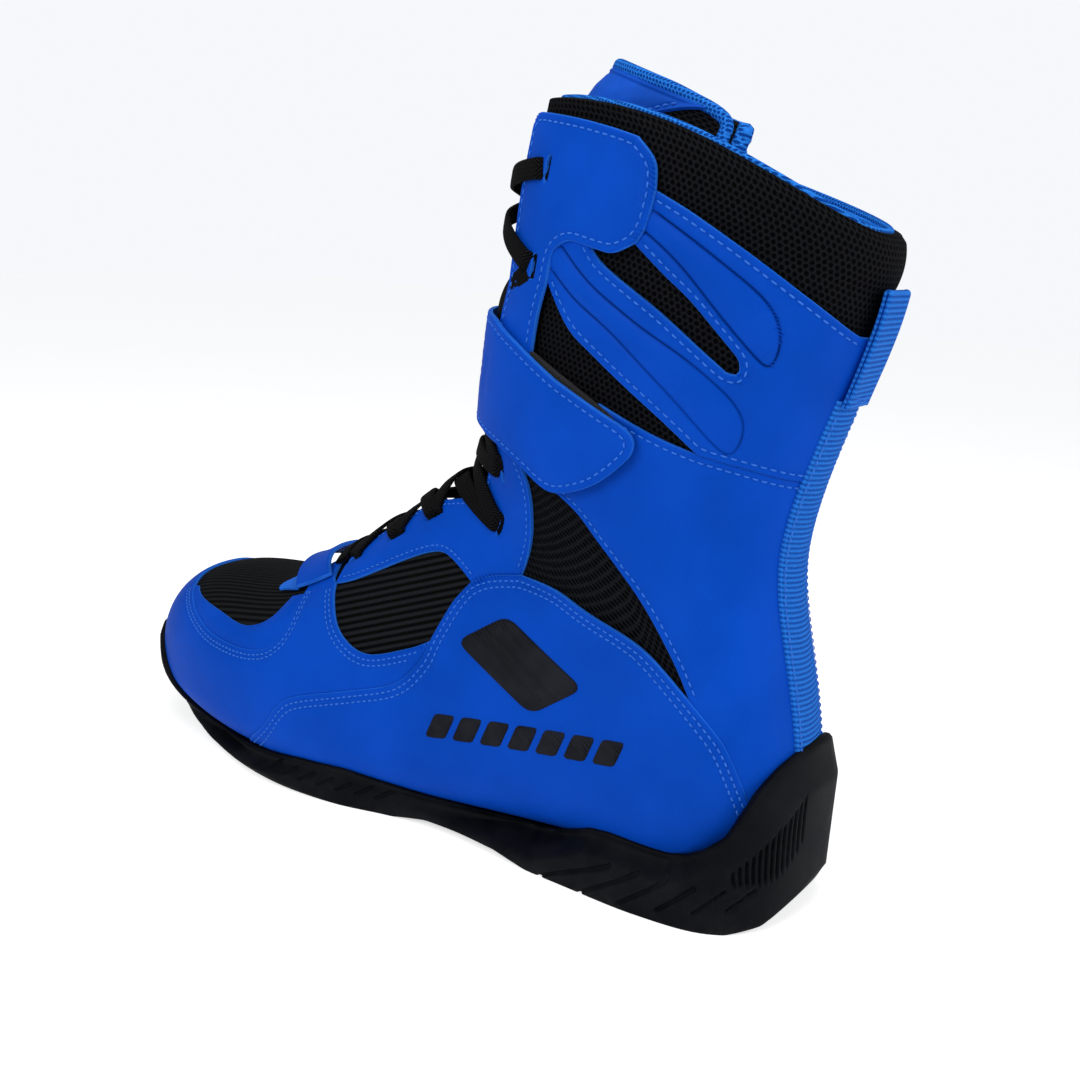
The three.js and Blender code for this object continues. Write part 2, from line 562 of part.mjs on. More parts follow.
function tonguePlate(from, to, rows, lean) {
  return plate(12, rows, (u, v) => {
    const level = THREE.MathUtils.lerp(from, to, v);
    const widen = THREE.MathUtils.smoothstep(level, TONGUE_START, TONGUE_HINGE - 40);
    const medialEdge = THREE.MathUtils.lerp(-TONGUE_FOOT_REACH, TONGUE_MEDIAL_WING, widen);
    const lateralEdge = THREE.MathUtils.lerp(TONGUE_FOOT_REACH, TONGUE_LATERAL_WING, widen);
    const around = THREE.MathUtils.lerp(medialEdge, lateralEdge, u);
    const rise = TONGUE_LATERAL_RISE * (around / TONGUE_LATERAL_WING);
    const drop = -TONGUE_MEDIAL_DROP * (around / TONGUE_MEDIAL_WING);
    const slope = around > 0 ? rise : drop;
    const along = level + (lean ? slope * v : 0);
    const bulge = TONGUE_BULGE * THREE.MathUtils.smoothstep(1 - Math.abs(around) / TONGUE_BULGE_REACH, 0, 1);
    const back = padded(TONGUE_OUTSIDE)(level) - (lean ? TONGUE_LEAN * v : 0);
    return { along, around, outer: back + bulge, inner: back - TONGUE_THICKNESS };
  });
}

function buildTongue() {
  add('tongue_body', tonguePlate(TONGUE_START, TONGUE_HINGE - HINGE_HALF_GAP, 18, false), BLACK_MESH);
  add('tongue_top', tonguePlate(TONGUE_HINGE + HINGE_HALF_GAP, TONGUE_TOP, 4, true), BLUE_LEATHER);
}

// ---- lace -------------------------------------------------------------------------------
const LACE_REST = OVERLAY_OUTSIDE + 5.5 * LAYER_GAP + LACE_THICKNESS / 2;

// One strand from a slot across the gap to the next slot up on the other side.
function strand(from, to, side) {
  const count = to.along - from.along > 60 ? 7 : 4;
  const places = [];
  for (let i = 0; i <= count; i++) {
    const t = i / count;
    const along = THREE.MathUtils.lerp(from.along, to.along, t);
    const around = side * THREE.MathUtils.lerp(from.around, -to.around, t);
    places.push({ centre: offset(along, around, LACE_REST), normal: outward(along, around) });
  }
  return ribbon(places, LACE_WIDTH, LACE_THICKNESS);
}

function buildLace() {
  let lace = null;
  const join = (piece) => { lace = lace ? lace.add(piece) : piece; };
  join(strand(LACE_ROWS[0], LACE_ROWS[0], 1));
  for (let i = 0; i + 1 < LACE_ROWS.length; i++) {
    for (const side of [1, -1]) join(strand(LACE_ROWS[i], LACE_ROWS[i + 1], side));
  }
  add('lace', lace, BLACK_LACE);
}

// ---- strap ------------------------------------------------------------------------------
// The strap is sewn to the medial side, passes in front of the ankle and closes with hook and
// loop tape on the lateral side.
const STRAP_SEWN_END = -86;
const STRAP_HINGE = -64;
const STRAP_FOLD = 58; // the free end starts here
const STRAP_END = 118;
const TAPE_START = 8; // the tape starts this many degrees past the fold
const HOOK_INSET = 3;
const LOOP_INSET = 2;
const STRAP_SIDE_DEPTH = SECOND_INSIDE + PATCH_THICKNESS * 2 + LAYER_GAP * 2;
const STRAP_FRONT_LIFT = 2.4; // it bridges the tongue and the crossed lace
const STRAP_BRIDGE_REACH = 60;
const STRAP_HALF_GAP = 0.6; // free space at each fold line
const STRAP_PLACE = [330, 455]; // the strap's edges lie between these slices

function strapDepth(around) {
  const nearness = THREE.MathUtils.smoothstep(1 - Math.abs(around) / STRAP_BRIDGE_REACH, 0, 1);
  return STRAP_SIDE_DEPTH + STRAP_FRONT_LIFT * nearness;
}

const STRAP_TOP_EDGE = [[-140, 206], [-100, 196], [-79, 188], [-67, 182], [-48, 172], [-30, 164], [-22, 160.5]];
const STRAP_TIP = [[-22, 160.5], [-18.5, 157.5], [-18, 154], [-20.5, 149.5], [-30, 141], [-41, 136], [-50, 135]];
const STRAP_BOTTOM_EDGE = [[-50, 135], [-60, 139.5], [-71, 144.5], [-90, 150], [-140, 158]];
const STRAP_MEDIAL_EDGE = [[-140, 206], [-60, 186], [-20, 178]];
const STRAP_MEDIAL_END = [[-20, 178], [-20, 150]];
const STRAP_MEDIAL_BOTTOM = [[-20, 150], [-60, 148], [-140, 158]];
const STRAP_FRONT = [[-140, 158], [-140, 206]];
const strapOutline = [STRAP_TOP_EDGE, STRAP_TIP, STRAP_BOTTOM_EDGE, STRAP_FRONT];
const medialOutline = [STRAP_MEDIAL_EDGE, STRAP_MEDIAL_END, STRAP_MEDIAL_BOTTOM, STRAP_FRONT];

function strapBand(from, to, columns, inner, outer) {
  return plate(columns, 3, (u, v) => {
    const around = THREE.MathUtils.lerp(from, to, u);
    const depth = strapDepth(around);
    return { along: THREE.MathUtils.lerp(...STRAP_PLACE, v), around, inner: depth + inner, outer: depth + outer };
  });
}

// A patch of tape that follows the strap's free end, shrunk in from its edge.
function tape(shrinkBy, inner, outer) {
  const start = STRAP_FOLD + TAPE_START;
  return strapBand(start, STRAP_END, 7, inner, outer).intersect(sideCut(strapOutline, 1, shrinkBy));
}

function buildStrap() {
  const limits = sideCut(medialOutline, -1, 0, 0).add(sideCut(strapOutline, 1, 0, 0));
  const piece = (from, to, columns) => strapBand(from, to, columns, 0, STRAP_THICKNESS).intersect(limits);
  add('strap_anchor', piece(STRAP_SEWN_END, STRAP_HINGE - STRAP_HALF_GAP, 2), BLUE_LEATHER);
  add('strap_body', piece(STRAP_HINGE + STRAP_HALF_GAP, STRAP_FOLD - STRAP_HALF_GAP, 14), BLUE_LEATHER);
  add('strap_tip', piece(STRAP_FOLD + STRAP_HALF_GAP, STRAP_END, 8), BLUE_LEATHER);
  const hookInside = -LAYER_GAP - PATCH_THICKNESS;
  add('hook_patch', tape(HOOK_INSET, hookInside, -LAYER_GAP), BLACK_HOOK);
  add('loop_patch', tape(LOOP_INSET, 2 * hookInside, hookInside - LAYER_GAP), BLACK_HOOK);
}

// ---- heel strip and pull loop -----------------------------------------------------------
const LOOP_START = 432; // the bar tack that holds the loop
const LOOP_END = 490;
const LOOP_GAP = 2; // between the bar tack and the end of the strip
const TACK_LENGTH = 4;
const TACK_REACH = 13; // degrees to each side
const LOOP_STEPS = 4;
const HEEL_STRIP_START = 318;
const WEBBING_THICKNESS = OVERLAY_THICKNESS;
const LOOP_DEPTH = 4.5;

function buildHeelStrip() {
  add('heel_strip', plate(4, 8, (u, v) => {
    const along = THREE.MathUtils.lerp(HEEL_STRIP_START, LOOP_START - 1, v);
    const reach = THREE.MathUtils.radToDeg(Math.asin(WEBBING_WIDTH / 2 / last.lateral(along)));
    const around = BACK + THREE.MathUtils.lerp(-reach, reach, u);
    return { along, around, inner: SECOND_INSIDE, outer: SECOND_OUTSIDE };
  }), BLUE_WEBBING);
  add('pull_loop', pullLoop(), BLUE_WEBBING);
}

// Webbing doubled over at the top and held by a bar tack at the bottom.
function pullLoop() {
  const lower = SECOND_INSIDE + WEBBING_THICKNESS / 2;
  const upper = lower + LOOP_DEPTH;
  const places = [];
  const push = (along, depth, normal) => places.push({ centre: offset(along, BACK, depth), normal });
  const out = (along) => outward(along, BACK);
  for (let i = 0; i <= LOOP_STEPS; i++) {
    const along = THREE.MathUtils.lerp(LOOP_START + LOOP_GAP, LOOP_END, i / LOOP_STEPS);
    push(along, lower, out(along));
  }
  const over = out(LOOP_END).cross(new THREE.Vector3(-1, 0, 0)).normalize();
  const middle = offset(LOOP_END, BACK, (lower + upper) / 2);
  for (const turn of [45, 90, 135]) {
    const angle = THREE.MathUtils.degToRad(turn);
    const arm = out(LOOP_END).multiplyScalar(-Math.cos(angle)).addScaledVector(over, Math.sin(angle));
    places.push({ centre: middle.clone().addScaledVector(arm, (upper - lower) / 2), normal: arm.clone().negate() });
  }
  for (let i = LOOP_STEPS; i >= 0; i--) {
    const along = THREE.MathUtils.lerp(LOOP_START + LOOP_GAP, LOOP_END, i / LOOP_STEPS);
    push(along, upper, out(along).negate());
  }
  const tack = plate(2, 2, (u, v) => {
    const along = LOOP_START + LOOP_GAP + TACK_LENGTH * v;
    return { along, around: BACK + THREE.MathUtils.lerp(-TACK_REACH, TACK_REACH, u), inner: lower, outer: upper };
  });
  return ribbon(places, WEBBING_WIDTH, WEBBING_THICKNESS).add(tack);
}

// ---- collar binding and side patch ------------------------------------------------------
const BINDING = { from: 50, to: 310, start: 1, height: 5 };
// A slanted patch of raised rubber on each ankle panel.
const PATCH = { along: 250, around: 71, length: 46, height: 26, turn: 7, rise: 15 };

function buildTrim() {
  add('collar_binding', plate(24, 1, (u, v) => {
    const around = THREE.MathUtils.lerp(BINDING.from, BINDING.to, u);
    const along = rim(around) + BINDING.start + BINDING.height * v;
    return { along, around, inner: padded(LINING_INSIDE)(COLLAR), outer: 0 };
  }), LIGHT_BLUE_FABRIC);
  for (const [name, side] of SIDES) {
    add(`ankle_patch_${name}`, plate(4, 4, (u, v) => {
      const [x, y] = [u - 0.5, v - 0.5];
      const along = PATCH.along + PATCH.length * x + PATCH.height * y;
      const around = side * (PATCH.around - PATCH.turn * x + PATCH.rise * y);
      return { along, around, inner: SECOND_INSIDE, outer: SECOND_OUTSIDE };
    }), BLACK_RUBBER);
  }
}

// ---- sole -------------------------------------------------------------------------------
// Ground line of the sole, [y, z]: toe spring, forefoot, raised waist, heel and rounded back.
const groundLine = [
  [-272, 44], [-263, 26], [-257, 14], [-248, 6], [-234, 2], [-206, 0], [-106, 0], [-92, 2.4], [-60, 2.4],
  [-46, 0], [27, 0], [36, 2.5], [42, 9], [50, 24],
];
const FOOTPRINT = [
  [-8, 44], [20, 38], [36, 22], [41, -2], [41, -30], [40, -56], [38, -80], [40, -104], [47, -130], [51, -160],
  [48, -188], [38, -216], [22, -240], [-4, -256], [-30, -246], [-46, -222], [-53, -190], [-53, -158], [-47, -130], [-36, -100],
  [-33, -76], [-37, -50], [-40, -24], [-40, 2], [-34, 24], [-22, 38],
];
const FOOTPRINT_HEIGHT = 17;
const FLOOR_THICKNESS = 3.6; // rubber under the midsole
const MIDSOLE_TOP = 11;
const MIDSOLE_INSET = 6;
const MIDSOLE_REACH = [-205, 24]; // from toe to heel
const SOCKLINER_REACH = [-235, 22];
const SOCKLINER_INSET = 11;
const SOCKLINER_TOP = 34;

// The footprint as a block of the given height, its outline moved in by an inset.
function footprintBlock(inset, from, to) {
  const closed = [...FOOTPRINT, FOOTPRINT[0]];
  const points = outline([closed], inset);
  const geometry = new THREE.ExtrudeGeometry(new THREE.Shape(points), { depth: to - from, bevelEnabled: false });
  geometry.translate(0, 0, from);
  return solid(geometry);
}

function fullBody(depth) {
  const points = [new THREE.Vector3(last.shift(0), last.topY(0) - depth, last.topZ(2))];
  const rings = ALONG_STEPS.map((along) => ring(along, depth).map((point) => points.push(point) - 1));
  const end = points.push(offset(COLLAR, 0, depth).lerp(offset(COLLAR, 180, depth), 0.5)) - 1;
  const triangles = [];
  for (let i = 0; i < AROUND_COUNT; i++) {
    const next = (i + 1) % AROUND_COUNT;
    triangles.push(0, rings[0][i], rings[0][next], end, rings.at(-1)[next], rings.at(-1)[i]);
  }
  for (let j = 1; j < rings.length; j++) strip(triangles, rings[j], rings[j - 1], true);
  return facingOut(points, triangles);
}

function buildSole() {
  const ground = [[0, 6], [5, 7], [6, 10], [9, 11], [10, groundLine.length]].map((part) => groundLine.slice(...part));
  const back = [groundLine.at(-1), soleLine.at(-1)];
  const front = [soleLine[0], groundLine[0]];
  const profile = sideCut([...ground, back, reversed(soleLine), front], 0, 0);
  const cavity = fullBody(SOLE_INSIDE);
  const midsoleLimit = sideRectangle(...MIDSOLE_REACH, FLOOR_THICKNESS, MIDSOLE_TOP);
  const block = footprintBlock(MIDSOLE_INSET, 0, FOOTPRINT_HEIGHT);
  const midsole = block.subtract(cavity).intersect(sideCut(midsoleLimit, 0, 0));
  const roomBlock = footprintBlock(MIDSOLE_INSET - LAYER_GAP, 0, FOOTPRINT_HEIGHT);
  const room = roomBlock.intersect(sideCut(midsoleLimit, 0, -LAYER_GAP));
  const form = fullBody(SOLE_OUTSIDE).add(footprintBlock(0, -1, FOOTPRINT_HEIGHT));
  add('outsole', form.intersect(profile).subtract(cavity).subtract(room), BLACK_RUBBER);
  add('midsole', midsole, WHITE_FOAM);
  const boardTop = tuckLine(-170, 16);
  const boardLimit = [boardTop, [[14, 27], [14, 0]], [[14, 0], [-177, 0]], [[-177, 0], [-165, 8]]];
  add('insole_board', overlayShell.intersect(sideCut(boardLimit, 0)), BOARD_GREY);
  const sockLimit = sideCut(sideRectangle(...SOCKLINER_REACH, 0, SOCKLINER_TOP), 0, 0);
  const sock = shell(LINING_INSIDE - LAYER_GAP - SOCKLINER_THICKNESS, LINING_INSIDE - LAYER_GAP);
  const sockBlock = footprintBlock(SOCKLINER_INSET, 0, SOCKLINER_TOP);
  add('sockliner', sock.intersect(sockBlock).intersect(sockLimit), LIGHT_BLUE_FABRIC);
}

buildSole();
buildBootie();
buildToe();
for (const [name, side] of SIDES) {
  buildQuarters(name, side);
  buildSideWindow(name, side);
  buildClaw(name, side);
  buildEyestays(name, side);
}
buildTongue();
buildLace();
buildStrap();
buildHeelStrip();
buildTrim();

export default group;
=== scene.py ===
"""Looks of the boxing boot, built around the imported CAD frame.

Lengths are millimetres of the boot's own drawing; UNIT turns them into metres and comes from the
packed outsole. The boot stands on z = 0 with the toe towards -Y and the lateral side towards +X.
A place on the boot is (turn, along): along counts slices from the toe tip to the collar, and turn
goes round a slice in degrees, 0 on the top and front line, 90 lateral, 180 on the sole and back
line, -90 medial. Depth is measured outwards from the outer face of the mesh bootie.
"""
import math

import bpy
import numpy as np
from mathutils import Matrix, Vector
from mathutils.bvhtree import BVHTree
from mathutils.geometry import delaunay_2d_cdt
from mathutils.kdtree import KDTree


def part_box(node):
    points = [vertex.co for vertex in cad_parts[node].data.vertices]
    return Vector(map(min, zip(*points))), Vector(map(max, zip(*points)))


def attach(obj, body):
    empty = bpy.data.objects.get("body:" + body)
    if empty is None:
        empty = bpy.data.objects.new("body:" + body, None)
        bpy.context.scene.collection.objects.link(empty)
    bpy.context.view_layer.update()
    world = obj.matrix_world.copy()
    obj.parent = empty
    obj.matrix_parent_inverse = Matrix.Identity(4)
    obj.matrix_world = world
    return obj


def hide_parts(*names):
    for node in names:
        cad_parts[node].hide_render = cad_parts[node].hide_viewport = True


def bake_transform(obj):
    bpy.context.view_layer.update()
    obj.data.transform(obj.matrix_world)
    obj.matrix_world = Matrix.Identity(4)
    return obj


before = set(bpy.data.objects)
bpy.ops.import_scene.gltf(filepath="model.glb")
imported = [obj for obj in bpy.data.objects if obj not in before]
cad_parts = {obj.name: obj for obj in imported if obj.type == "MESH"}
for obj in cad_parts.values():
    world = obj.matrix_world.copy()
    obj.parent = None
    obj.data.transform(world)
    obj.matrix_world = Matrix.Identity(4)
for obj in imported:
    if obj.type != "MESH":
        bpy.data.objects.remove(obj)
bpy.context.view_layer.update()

# ---- drawing unit and layers --------------------------------------------------------------
SOLE_LENGTH = 303.2
sole_low, sole_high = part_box("outsole")
UNIT = (sole_high.y - sole_low.y) / SOLE_LENGTH

FIRST_LAYER, SECOND_LAYER = 0.1, 1.5  # depths at which the two leather layers start
SOLE_DEPTH = 4.2
TUCK = 5.5  # how far a panel runs down behind the sole wall

# ---- the bootie's surface -------------------------------------------------------------------
# along, top point (y, z), bottom point (y, z), half-widths lateral and medial, sideways shift,
# height of the widest place, superellipse exponents of the front half and of the back half
SLICES = np.array([
    (0, -255, 34, -255, 30, 0, 0, -5, 0.45, 2.3, 2.4),
    (8, -254, 46, -253, 18, 18, 18, -5, 0.42, 2.3, 2.6),
    (20, -248, 57, -246, 12, 30, 30, -5, 0.38, 2.3, 2.9),
    (45, -226, 66, -222, 9, 41, 40, -4, 0.34, 2.3, 3.2),
    (75, -200, 69, -188, 7, 47, 47, -2, 0.31, 2.25, 3.4),
    (110, -175, 75, -148, 6, 48, 48, -1, 0.31, 2.15, 3.5),
    (150, -150, 91, -101, 7, 43, 42, 0, 0.34, 2.05, 3.3),
    (190, -129, 107, -56, 9, 38, 36, 0, 0.36, 2.0, 3.0),
    (230, -115, 119, -14, 10, 35, 33, 0, 0.34, 2.0, 2.8),
    (265, -106, 126, 17, 14, 34, 32, 0, 0.30, 2.0, 2.6),
    (292, -100, 131, 34, 36, 33, 32, 0, 0.30, 2.0, 2.4),
    (318, -97, 138, 34, 64, 33, 32, 0, 0.34, 2.0, 2.2),
    (350, -94, 150, 27, 96, 33, 32, 0, 0.42, 2.1, 2.0),
    (380, -92, 165, 24, 122, 34, 33, 0, 0.48, 2.2, 1.9),
    (415, -89, 188, 30, 156, 36, 35, 0, 0.50, 2.3, 2.0),
    (450, -86, 211, 38, 184, 38, 37, 0, 0.50, 2.3, 2.1),
    (490, -82, 236, 43, 206, 39, 39, 0, 0.50, 2.4, 2.2),
    (530, -77, 259, 44, 223, 39, 39, 0, 0.50, 2.5, 2.3),
], float)
COLLAR = SLICES[-1, 0]


def natural_spline(places, values):
    """A smooth curve through the values, read at any place."""
    count = len(places)
    gaps = np.diff(places)
    slopes = np.diff(values) / gaps
    system = np.eye(count)
    right = np.zeros(count)
    for i in range(1, count - 1):
        system[i, i - 1:i + 2] = (gaps[i - 1], 2 * (gaps[i - 1] + gaps[i]), gaps[i])
        right[i] = 6 * (slopes[i] - slopes[i - 1])
    bend = np.linalg.solve(system, right)

    def read(at):
        at = np.asarray(at, float)
        i = np.clip(np.searchsorted(places, at) - 1, 0, count - 2)
        width = places[i + 1] - places[i]
        a = (places[i + 1] - at) / width
        b = 1 - a
        curve = ((a ** 3 - a) * bend[i] + (b ** 3 - b) * bend[i + 1]) * width ** 2 / 6
        return a * values[i] + b * values[i + 1] + curve

    return read


(top_y, top_z, bottom_y, bottom_z, half_lateral, half_medial, sideways_shift, widest_share,
 front_exponent, back_exponent) = [natural_spline(SLICES[:, 0], SLICES[:, k]) for k in range(1, 11)]


def surface(turn, along):
    """Points of the bootie at the given places."""
    turn, along = np.broadcast_arrays(np.asarray(turn, float), np.asarray(along, float))
    angle = np.radians(turn)
    forward, sideways = np.cos(angle), np.sin(angle)
    power = np.where(forward >= 0, front_exponent(along), back_exponent(along))
    reach = (np.abs(forward) ** power + np.abs(sideways) ** power) ** (-1 / power)
    half = np.where(sideways >= 0, half_lateral(along), half_medial(along))
    widest = widest_share(along)
    lengthwise = reach * forward
    share = np.where(forward >= 0, widest + (1 - widest) * lengthwise, widest * (1 + lengthwise))
    low_y, low_z = bottom_y(along), bottom_z(along)
    return np.stack([
        sideways_shift(along) + half * reach * sideways,
        low_y + (top_y(along) - low_y) * share,
        low_z + (top_z(along) - low_z) * share,
    ], axis=-1)


def unit(vectors):
    return vectors / np.maximum(np.linalg.norm(vectors, axis=-1, keepdims=True), 1e-9)


def run_length(points):
    """How far each point lies along the path."""
    return np.concatenate([[0], np.cumsum(np.linalg.norm(np.diff(points, axis=0), axis=1))])


def read_path(at, run, path):
    """The path's points at the given lengths along it."""
    return np.stack([np.interp(at, run, column) for column in path.T], 1)


def outward(turn, along):
    step = 0.4
    round_way = surface(turn + step, along) - surface(turn - step, along)
    up_way = surface(turn, along + step) - surface(turn, along - step)
    return unit(np.cross(round_way, up_way))


def offset(turn, along, depth):
    turn, along, depth = np.broadcast_arrays(*(np.asarray(v, float) for v in (turn, along, depth)))
    return surface(turn, along) + outward(turn, along) * depth[..., None]


def smoothstep(value, low=0.0, high=1.0):
    share = np.clip((np.asarray(value, float) - low) / (high - low), 0, 1)
    return share * share * (3 - 2 * share)


def rounded_rise(distance, radius):
    """0 at an edge, rising on a quarter circle to 1 at the radius."""
    return np.sqrt(1 - (1 - np.clip(distance / radius, 0, 1)) ** 2)


def turn_of(around, along):
    """The turn of a slice's parameter angle, by which the CAD part names its places."""
    angle = np.radians(np.asarray(around, float))
    power = np.where(np.cos(angle) >= 0, front_exponent(along), back_exponent(along))
    sideways = np.abs(np.sin(angle)) ** (2 / power) * np.sign(np.sin(angle))
    lengthwise = np.abs(np.cos(angle)) ** (2 / power) * np.sign(np.cos(angle))
    return np.degrees(np.arctan2(sideways, lengthwise))


RIM_RISE = 18.5
RIM_REACH = 78


def rim(turn):
    """The collar's edge, which bows up on the lateral side."""
    away = (np.asarray(turn, float) + 180) % 360 - 180 - 90
    share = np.clip(np.abs(away) / RIM_REACH, 0, 1)
    return COLLAR + RIM_RISE * np.cos(share * math.pi / 2) ** 2


# ---- from side view to a place on the boot --------------------------------------------------
ALONG_TABLE = np.arange(0, 580, 0.5)
TOP_TABLE = np.stack([top_y(ALONG_TABLE), top_z(ALONG_TABLE)], 1)
BOTTOM_TABLE = np.stack([bottom_y(ALONG_TABLE), bottom_z(ALONG_TABLE)], 1)


def cross2(a, b):
    return a[..., 0] * b[..., 1] - a[..., 1] * b[..., 0]


def side_place(points):
    """(turn, along) of side-view points [y, z] on the lateral side, clamped to the silhouette."""
    chord = (TOP_TABLE - BOTTOM_TABLE)[None]
    rise = points[:, None] - BOTTOM_TABLE[None]
    length = np.linalg.norm(chord, axis=-1)
    miss = cross2(chord, rise) / length
    share = (rise * chord).sum(-1) / length ** 2
    outside = np.maximum(np.maximum(share - 1, -share), 0) * length
    crossing = np.zeros(miss.shape, bool)
    crossing[:, :-1] = (miss[:, :-1] > 0) != (miss[:, 1:] > 0)
    index = np.where(crossing, outside, 1000 + np.abs(miss) + outside).argmin(1)
    rows = np.arange(len(points))
    after = np.minimum(index + 1, len(ALONG_TABLE) - 1)
    fall = miss[rows, index] - miss[rows, after]
    part = np.where(crossing[rows, index], miss[rows, index] / np.where(fall == 0, 1, fall), 0)
    along = ALONG_TABLE[index] + part * (ALONG_TABLE[1] - ALONG_TABLE[0])
    found = share[rows, index] * (1 - part) + share[rows, after] * part
    found = np.clip(found, 0, 1)
    widest = widest_share(along)
    in_front = found >= widest
    lengthwise = np.clip(np.where(in_front, (found - widest) / (1 - widest), 1 - found / widest), 0, 1)
    power = np.where(in_front, front_exponent(along), back_exponent(along))
    sideways = (1 - lengthwise ** power) ** (1 / power)
    return np.degrees(np.arctan2(sideways, np.where(in_front, lengthwise, -lengthwise))), along


def side_places(points, side=1, depth=0.9):
    """Places whose offset points have the given side view, mirrored for side -1."""
    points = np.asarray(points, float)
    aim = points.copy()
    for _ in range(5):
        turn, along = side_place(aim)
        error = points - offset(turn * side, along, depth)[:, 1:]
        drift = aim + error - points
        size = np.linalg.norm(drift, axis=1, keepdims=True)
        aim = points + drift * np.minimum(1, 1.3 * abs(depth) / np.maximum(size, 1e-9))
    return np.stack([turn * side, along], 1)


def smooth_run(points, per_segment=8):
    """A Catmull-Rom curve through the points; two points make a straight line."""
    points = np.asarray(points, float)
    padded = np.vstack([points[:1], points, points[-1:]])
    result = []
    for i in range(len(points) - 1):
        p0, p1, p2, p3 = padded[i:i + 4]
        for t in np.arange(per_segment) / per_segment:
            first = (p2 - p0) * 0.5
            second = (p3 - p1) * 0.5
            result.append(
                (2 * p1 - 2 * p2 + first + second) * t ** 3
                + (-3 * p1 + 3 * p2 - 2 * first - second) * t ** 2 + first * t + p1)
    result.append(points[-1])
    return np.array(result)


def side_run(points, side=1, depth=0.9):
    return side_places(smooth_run(points), side, depth)


def side_runs(side, *outlines):
    return [side_run(outline, side) for outline in outlines]


# ---- meshes -----------------------------------------------------------------------------------
def make_mesh(name, points, faces, material, places=None, rim_distance=None, sharp=42, groove=None):
    """A smooth-shaded object; points are in drawing units, places become its UV map."""
    mesh = bpy.data.meshes.new(name)
    mesh.from_pydata((np.asarray(points) * UNIT).tolist(), [], [tuple(map(int, f)) for f in faces])
    if places is not None:
        layer = mesh.uv_layers.new(name="places")
        corners = np.zeros(len(mesh.loops), np.int64)
        mesh.loops.foreach_get("vertex_index", corners)
        layer.data.foreach_set("uv", np.asarray(places, np.float32)[corners].ravel())
    # rim keeps the distance from the cut edge; groove keeps how much painted shade the seam and crease
    # grooves get
    for attribute, values in (("rim", rim_distance), ("groove", groove)):
        if values is not None:
            layer = mesh.attributes.new(attribute, "FLOAT", "POINT")
            layer.data.foreach_set("value", np.asarray(values, np.float32))
    mesh.validate()
    mesh.shade_smooth()
    mesh.set_sharp_from_angle(angle=math.radians(sharp))
    piece = bpy.data.objects.new(name, mesh)
    piece.data.materials.append(material)
    bpy.context.scene.collection.objects.link(piece)
    return piece


def finish_piece(piece, body, nodes=()):
    if body:
        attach(piece, body)
    if nodes:
        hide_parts(*nodes)
    return piece


def grid_faces(rows, columns, start=0, closed=False, flip=False):
    """Four-cornered faces between the points of a grid laid out row by row."""
    index = start + np.arange(rows * columns).reshape(rows, columns)
    if closed:
        index = np.hstack([index, index[:, :1]])
    quads = np.stack([index[:-1, :-1], index[:-1, 1:], index[1:, 1:], index[1:, :-1]], -1).reshape(-1, 4)
    return [tuple(quad) for quad in (quads[:, ::-1] if flip else quads).tolist()]


def outward_faces(points, faces):
    """Turns all faces of a closed body over where its volume comes out negative."""
    volume = 0
    for size in {len(face) for face in faces}:
        corners = points[np.array([face for face in faces if len(face) == size])]
        for k in range(1, size - 1):
            volume += (corners[:, 0] * np.cross(corners[:, k], corners[:, k + 1])).sum()
    return faces if volume > 0 else [tuple(face)[::-1] for face in faces]


def closed_sheet(outer, inner):
    """Points and faces of a body between two grids of the same size."""
    rows, columns = outer.shape[:2]
    points = np.concatenate([outer.reshape(-1, 3), inner.reshape(-1, 3)])
    half = rows * columns
    faces = grid_faces(rows, columns) + grid_faces(rows, columns, half, flip=True)
    index = np.arange(half).reshape(rows, columns)
    border = np.concatenate([index[0, :], index[1:, -1], index[-1, -2::-1], index[-2:0:-1, 0]])
    for a, b in zip(border, np.roll(border, -1)):
        faces.append((b, a, a + half, b + half))
    return points, outward_faces(points, faces)


def sheet_piece(name, outer, inner, material, places, **settings):
    """The body between two grids as an object, with the same places on both faces."""
    points, faces = closed_sheet(outer, inner)
    return make_mesh(name, points, faces, material, np.vstack([places, places]), **settings)


def tube(centres, normals, width, thickness, corner=0.45, sides=14):
    """A flat band with rounded edges swept along a path; normals point off its face."""
    centres, normals = np.asarray(centres, float), unit(np.asarray(normals, float))
    forward = unit(np.gradient(centres, axis=0))
    across = unit(np.cross(forward, normals))
    normals = unit(np.cross(across, forward))
    angle = np.arange(sides) * 2 * math.pi / sides
    flat = np.sign(np.cos(angle)) * np.abs(np.cos(angle)) ** corner * width / 2
    high = np.sign(np.sin(angle)) * np.abs(np.sin(angle)) ** corner * thickness / 2
    rings = centres[:, None] + across[:, None] * flat[None, :, None] + normals[:, None] * high[None, :, None]
    count = len(centres)
    points = rings.reshape(-1, 3)
    faces = grid_faces(count, sides, closed=True)
    faces.append(tuple(range(sides))[::-1])
    faces.append(tuple(range((count - 1) * sides, count * sides)))
    places = np.stack(np.broadcast_arrays(flat[None, :], run_length(centres)[:, None]), -1).reshape(-1, 2)
    return points, outward_faces(points, faces), places


def merge(parts):
    """One body list from several (points, faces, places) bodies."""
    points, faces, places, start = [], [], [], 0
    for part_points, part_faces, part_places in parts:
        points.append(part_points)
        places.append(part_places)
        faces += [tuple(int(i) + start for i in face) for face in part_faces]
        start += len(part_points)
    return np.concatenate(points), faces, np.concatenate(places)


def resample(path, step):
    """Even places along a path of places, about step apart on the boot."""
    run = run_length(surface(path[:, 0], path[:, 1]))
    count = max(int(round(run[-1] / step)), 1)
    return read_path(np.linspace(0, run[-1], count + 1), run, path)


def nearest(points, targets):
    """Distance of each point to the nearest target."""
    tree = KDTree(len(targets))
    for number, target in enumerate(targets.tolist()):
        tree.insert(target, number)
    tree.balance()
    return np.array([tree.find(point)[2] for point in points.tolist()])


